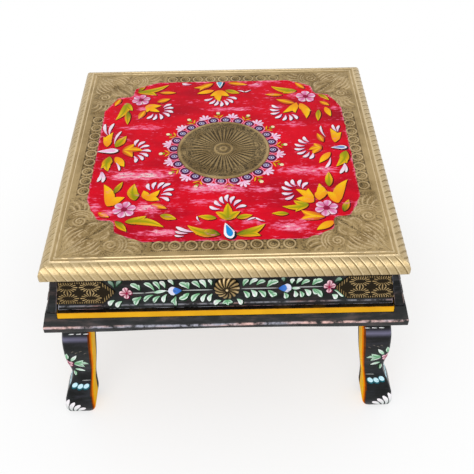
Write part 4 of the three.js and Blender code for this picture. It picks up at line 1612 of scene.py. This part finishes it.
LEG_WHITE = (tone(196, 206, 202), PAINT_WHITE, None, None)
LEG_WORN = (tone(84, 78, 72), tone(112, 106, 98), None, None)
LEG_FLOWER = (0, 88)
FOOT_STROKES = [((2.5, 5), (4, 29)), ((5.5, 4.5), (11, 24)), ((8.5, 4), (18, 19)), ((12, 3.5), (24, 13))]


def leg_motifs(bm, lay):
    """The strokes of one face, drawn from the corner inwards."""
    for s in (11, 19, 27):
        stroke(bm, lay, (s - 3, 139.6), (s + 3, 140), 1.6, LEG_WHITE, "line")
    for s, z in ((9, 109), (13, 107), (18, 109.5), (23, 106)):
        stroke(bm, lay, (s, z), (s + 3.5, z + 2.5), 1.3, LEG_WORN, "line", 0.2)
    outlined(bm, lay, (6, 93), (14, 104), 5, VINE_PALE, VINE_SHADE)
    outlined(bm, lay, (1.5, 97), (3.5, 108), 5.5, VINE_LEAF, VINE_SHADE)
    spray(bm, lay, (8, 87), [(25, 86.5), (20, 94.5), (18.5, 79.5)], 7, VINE_LEAF, VINE_SHADE)
    outlined(bm, lay, (6, 76), (17, 70.5), 4.6, VINE_PALE, VINE_SHADE)
    outlined(bm, lay, (4, 72), (4.5, 62), 4, VINE_LEAF, VINE_SHADE)
    stroke(bm, lay, (12.5, 54), (23, 54.4), 0.9, plain(STEM_GREY), "line")
    for s, z in ((5.6, 48), (13, 46.2), (20, 46.4)):
        disc(bm, lay, (s + 0.5, z - 0.7), 4, DOT_SHADE, DARK_UP)
        disc(bm, lay, (s, z), 3.2, DOT_BLUE, PAINT_UP)
    for start, tip in FOOT_STROKES:
        stroke(bm, lay, start, tip, 5.6, LEG_WHITE, "petal", 0.08)


def leg_painting(node, turn):
    bm = painting()
    for mirror in (False, True):
        leg_motifs(bm, leg_lay(mirror))
    corner = leg_lay(False)
    for petal in range(5):
        angle = math.radians(90 + 72 * petal)
        tip = round_place(LEG_FLOWER, 7, angle)
        outlined(bm, corner, LEG_FLOWER, tip, 5.4, VINE_PETAL, WINE, "petal", 0, 1)
    disc(bm, corner, LEG_FLOWER, 1.8, MAROON, TOP_UP)
    quarter_turned(bm, turn)
    finished(f"painted_{node}", bm, VINE_STROKES, "table", "black_paint")


for turn, node in enumerate(LEG_NODES):
    leg_painting(node, turn)

# %% [markdown]
# ## Corner plates
#
# Each end of a wall is covered by a pointed plate of thin brass. Dark diamonds stand on its middle line,
# with dark lenses between them above and below, and short bright lashes are struck round each lens. As with
# the border, one height over a fine grid makes the relief and its tarnish.

# %% Corner plates
PLATE_LOW = 195.3
PLATE_HIGH = 222.2
PLATE_TIP = 115.4
PLATE_SHOULDER = 129
PLATE_OUTER = 177.6
PLATE_LEAN = 0.26
PLATE_COLUMNS = 204
PLATE_ROWS = 78
PLATE_UP = 0.8
PLATE_BODY = 0.78
PLATE_POINT = 0.22
DIAMONDS = (128.7, 153.3, 177.9)
DIAMOND_HALF = (4.7, 4.4)
LENSES = (141.3, 165.2)
LENS_RISE = 6.7
LENS_HALF = (6.3, 2.2)
RING_HALF = (8, 4.2)
LASHES = 16
LASH_REACH = 5.2
DOT_SPACE = 2.4
DOTS_DEEP = 2.1
POINT_DOTS_DEEP = 5.4
CRISP = 2.6


def ring_share(dx, dy):
    """How far round the ring of lashes a place lies, from 0 to 1, with even steps along the ring."""
    turns = np.linspace(-math.pi, math.pi, 361)
    stride = np.hypot(RING_HALF[0] * np.sin(turns), RING_HALF[1] * np.cos(turns))
    run = np.concatenate([[0], np.cumsum(stride[1:] + stride[:-1])])
    return np.interp(np.arctan2(dy / RING_HALF[1], dx / RING_HALF[0]), turns, run / run[-1])


def lashes(a, rise):
    """Bright ticks that stand round the nearest lens, and the dark of the lenses and diamonds."""
    dark = np.zeros_like(a)
    for at in DIAMONDS:
        far = np.abs(a - at) / DIAMOND_HALF[0] + np.abs(rise) / DIAMOND_HALF[1]
        dark = np.maximum(dark, within(far, 0.88, 1.12))
    nearest = np.full_like(a, 99.0)
    ticks = np.zeros_like(a)
    for at in LENSES:
        for level in (-LENS_RISE, LENS_RISE):
            dx, dy = a - at, rise - level
            far = np.hypot(dx / LENS_HALF[0], dy / LENS_HALF[1])
            gap = np.hypot(dx, dy) * (1 - 1 / np.maximum(far, 0.01))
            dark = np.maximum(dark, within(far, 0.86, 1.12))
            tick = pulse(LASHES * ring_share(dx, dy)) ** CRISP
            ticks = np.where(gap < nearest, tick * within(gap, LASH_REACH - 0.9, LASH_REACH + 0.4), ticks)
            nearest = np.minimum(nearest, gap)
    return ticks, dark


def plate_shape(lay, sign):
    middle = (PLATE_LOW + PLATE_HIGH) / 2
    tall = (PLATE_HIGH - PLATE_LOW) / 2

    def shape(u, v):
        lean = PLATE_OUTER - PLATE_LEAN * (2 * v - 1) * tall
        body = lean + (PLATE_SHOULDER - lean) * np.minimum(u / PLATE_BODY, 1)
        past = np.clip((u - PLATE_BODY) / PLATE_POINT, 0, 1)
        a = body + (PLATE_TIP - PLATE_SHOULDER) * past
        half = tall * (1 - past) ** 0.85
        z = middle + (2 * v - 1) * half
        rim = np.minimum((1 - np.abs(2 * v - 1)) * half, np.where(past > 0, 9, lean - body))
        ticks, dark = lashes(a, z - middle)
        dots = 0.75 * pulse(a / DOT_SPACE) ** CRISP
        deep = np.where(past > 0, POINT_DOTS_DEEP, DOTS_DEEP)
        arcs = np.where(rim < deep, dots * beyond(rim, 0.4, 0.7), ticks) * (1 - dark)
        edge = 0.22 * within(rim, 0.3, 0.5)
        relief = np.maximum(0.3 * arcs, edge) - 0.36 * dark
        places = [lay(sign * x, y, PLATE_UP + h) for x, y, h in zip(a, z, relief)]
        level = np.clip(0.98 * arcs - 0.24 + 0.6 * edge - 0.2 * dark, -0.3, 1)
        return places, {"relief": level, "polish": 0, "chase": 0}

    return shape


def corner_plate(node, body, lay, sign):
    bm = bent_grid(PLATE_COLUMNS, PLATE_ROWS, plate_shape(lay, sign))
    if sign > 0:
        bmesh.ops.reverse_faces(bm, faces=bm.faces)
    merged(bm, 0.001)
    thickened(finished(f"ribbed_{node}", bm, OLD_BRASS, body, "brass", [node]), PLATE_UP)


for side, low_end, high_end in (
    ("drawer", "left", "right"),
    ("right", "front", "back"),
    ("back", "right", "left"),
    ("left", "back", "front"),
):
    lay = WALL_FACES.get(side, DRAWER_FACE)
    body = "drawer" if side == "drawer" else "table"
    corner_plate(f"{side}_plate_{low_end}", body, lay, -1)
    corner_plate(f"{side}_plate_{high_end}", body, lay, 1)

# %% [markdown]
# ## Knob and its screw
#
# The knob is a cast brass flower: fourteen petals swirl a little round a low dome with a small bright boss.
# It is a polar sheet: rows run from the boss over the petals to the rim, then back under it to the neck.
# The screw that holds it from inside the drawer has a slotted head. Both stand on the leaning drawer front.

# %% Knob
KNOB_AT = (2, 212)
WALL_LEAN = 12
WALL_TALL = 46
KNOB_RISE = math.cos(math.atan(WALL_LEAN / WALL_TALL))
KNOB_PETALS = 14
KNOB_SECTORS = 240
KNOB_PROFILE = [
    (0, 8.1), (0.5, 8.0), (1.0, 7.7), (1.4, 7.2), (1.7, 6.8), (2.6, 6.9), (4, 6.8), (5.5, 6.5),
    (7, 6.1), (8.2, 5.6), (9.4, 5.1), (10.6, 4.6), (11.7, 4.0), (12.6, 3.5), (13.3, 2.9), (13.5, 2.4),
    (13.1, 2.0), (11, 2.0), (8, 1.9), (6, 1.8), (5.4, 1.2), (5.4, -0.3),
]
KNOB_ROWS = 84


def on_drawer(radius, angle, height):
    """Places round the middle of the knob, at a height over the drawer front."""
    across = KNOB_AT[0] + radius * np.cos(angle)
    up = KNOB_AT[1] + radius * np.sin(angle) * KNOB_RISE
    return [DRAWER_FACE(*place) for place in zip(across, up, height)]


def knob_shape(u, v):
    radii, heights = np.array(KNOB_PROFILE).T
    run = run_along(radii, heights)
    share = np.rint(v * KNOB_ROWS) / KNOB_ROWS
    radius = np.interp(share * run[-1], run, radii)
    height = np.interp(share * run[-1], run, heights)
    angle = u * TURN
    top = within(share, 0.58, 0.64)
    outer = beyond(radius, 1.6, 3.4)
    swirl = KNOB_PETALS / 2 * (angle + 0.035 * radius)
    petal = np.abs(np.cos(swirl)) ** 0.9
    lobed = radius * (1 - 0.07 * (1 - petal) * beyond(radius, 8, 12))
    height = height + top * outer * (petal - 1) * (0.45 + 0.045 * radius)
    # Painted highlight: three broad sectors round the knob are brighter, as if some petals catch the light.
    bright = 0.95 + 0.3 * np.cos(3 * angle + 0.6)
    boss = within(radius, 1.2, 1.8) * top
    level = np.clip(bright * petal**3 * outer * beyond(radius, 0, 14) - 0.1 + boss, -0.2, 1)
    return on_drawer(lobed, angle, height), {"relief": level, "polish": 0.6 * boss, "chase": 0}


knob = bent_grid(KNOB_SECTORS, KNOB_ROWS, knob_shape)
merged(knob, 0.002)
closed(knob, [edge for edge in knob.edges if edge.is_boundary])
finished("flower_knob", knob, OLD_BRASS, "drawer", "brass", ["drawer_knob"])

# %% Screw
SCREW_SECTORS = 96
SCREW_ROWS = 42
SCREW_DEPTH = 11.6
SCREW_PROFILE = [
    (0, 2.3), (1.2, 2.25), (2.4, 1.95), (3.3, 1.4), (3.85, 0.8),
    (4.0, 0.2), (4.0, -0.02), (2.0, -0.02), (2.0, -12.4), (0, -12.4),
]
SLOT_HALF = 0.45


def screw_shape(u, v):
    radii, heights = np.array(SCREW_PROFILE).T
    steps = np.append(np.linspace(0, 6, 31), np.linspace(6, 9, 13)[1:])
    row = steps[np.rint(v * SCREW_ROWS).astype(int)]
    radius = np.interp(row, range(len(radii)), radii)
    height = np.interp(row, range(len(radii)), heights)
    angle = u * TURN
    aside = np.abs(radius * np.sin(angle))
    slot = within(aside, SLOT_HALF - 0.12, SLOT_HALF + 0.12) * (row < 5) * (height > 0)
    depth = -SCREW_DEPTH - height + slot * 1.1 * np.minimum(height / 1.4, 1)
    return on_drawer(radius, angle, depth), {}


screw = bent_grid(SCREW_SECTORS, SCREW_ROWS, screw_shape)
merged(screw, 0.002)
finished("slotted_screw", screw, SCREW_STEEL, "drawer", "steel", ["knob_screw"])

# %% [markdown]
# ## Stage, light and camera
#
# The table stands on a pale floor that runs out to white. A big soft lamp in front and above lights the
# drawer front and throws a gentle shadow behind; the sky fills the rest. The camera stands where the
# photographer's did, found from the corners of the top.

# %% Floor
FLOOR_RADIUS = 6.0
WHITE = (1, 1, 1, 1)
FLOOR_GREY = (0.94, 0.94, 0.94, 1)


def mixed(tree, share, first, second, output):
    """Sends a mix of two shaders to the output node."""
    both = add(tree, "MixShader", {0: share, 1: first.outputs[0], 2: second.outputs[0]})
    put(tree, output.inputs["Surface"], both.outputs[0])


def floor_paint():
    """Pale near the table, and glowing white farther out."""
    material, tree, shader = new_material("pale floor")
    put_all(tree, shader, {"Base Color": FLOOR_GREY, "Roughness": 0.8})
    glow = add(tree, "Emission", {"Color": WHITE, "Strength": 1.0})
    far = add(tree, "VectorMath", {0: own_place(tree)}, operation="LENGTH").outputs["Value"]
    fade = ease(tree, far, 0.15, 0.5, 0.55, 1.0)
    mixed(tree, fade, tree.nodes["Principled BSDF"], glow, tree.nodes["Material Output"])
    return material


circle = bmesh.new()
bmesh.ops.create_circle(circle, cap_ends=True, segments=96, radius=FLOOR_RADIUS)
floor = new_object("floor", mesh_from("floor", circle))
floor.data.materials.append(floor_paint())

# %% Sky
SKY_LIGHT = 0.8


def pale_sky():
    """White where the camera or a reflection sees it, and a little weaker as a light."""
    world = bpy.data.worlds.new("pale sky")
    world.use_nodes = True
    tree = world.node_tree
    tree.nodes.clear()
    paths = add(tree, "LightPath", {}).outputs
    seen = maths(tree, "MAXIMUM", paths["Is Camera Ray"], paths["Is Glossy Ray"])
    seen = maths(tree, "MAXIMUM", seen, paths["Is Transmission Ray"])
    lighting = add(tree, "Background", {"Color": WHITE, "Strength": SKY_LIGHT})
    backdrop = add(tree, "Background", {"Color": WHITE, "Strength": 1.0})
    mixed(tree, seen, lighting, backdrop, add(tree, "OutputWorld", {}))
    bpy.context.scene.world = world


pale_sky()

# %% Lamp
KEY_PLACE = Vector((-0.25, -1.7, 1.5))
KEY_AIM = Vector((0, 0, 0.18))
KEY_SIZE = 2.4
KEY_POWER = 21

key = bpy.data.lights.new("key", "AREA")
key.shape = "DISK"
key.size = KEY_SIZE
key.energy = KEY_POWER
lamp = new_object("key", key)
lamp.location = KEY_PLACE
lamp.rotation_mode = "QUATERNION"
lamp.rotation_quaternion = (KEY_AIM - KEY_PLACE).to_track_quat("-Z", "Y")

# %% Camera
CAMERA_AT = Vector((0.0107, -0.6661, 0.7644))
PITCH = math.radians(44.73)
YAW = math.radians(0.32)
ROLL = math.radians(-0.98)
SENSOR = 36.0
LENS = 53.13

forward = Vector((math.sin(YAW) * math.cos(PITCH), math.cos(YAW) * math.cos(PITCH), -math.sin(PITCH)))
level = Vector((math.cos(YAW), -math.sin(YAW), 0))
upright = level.cross(forward)
right = level * math.cos(ROLL) + upright * math.sin(ROLL)
up = upright * math.cos(ROLL) - level * math.sin(ROLL)
film = bpy.data.cameras.new("photo camera")
film.sensor_width = SENSOR
film.lens = LENS
film.clip_start = 0.01
film.clip_end = 50
camera = new_object("photo camera", film)
camera.matrix_world = Matrix.Translation(CAMERA_AT) @ Matrix((right, up, -forward)).transposed().to_4x4()
bpy.context.scene.camera = camera
bpy.context.scene.view_settings.view_transform = "Standard"
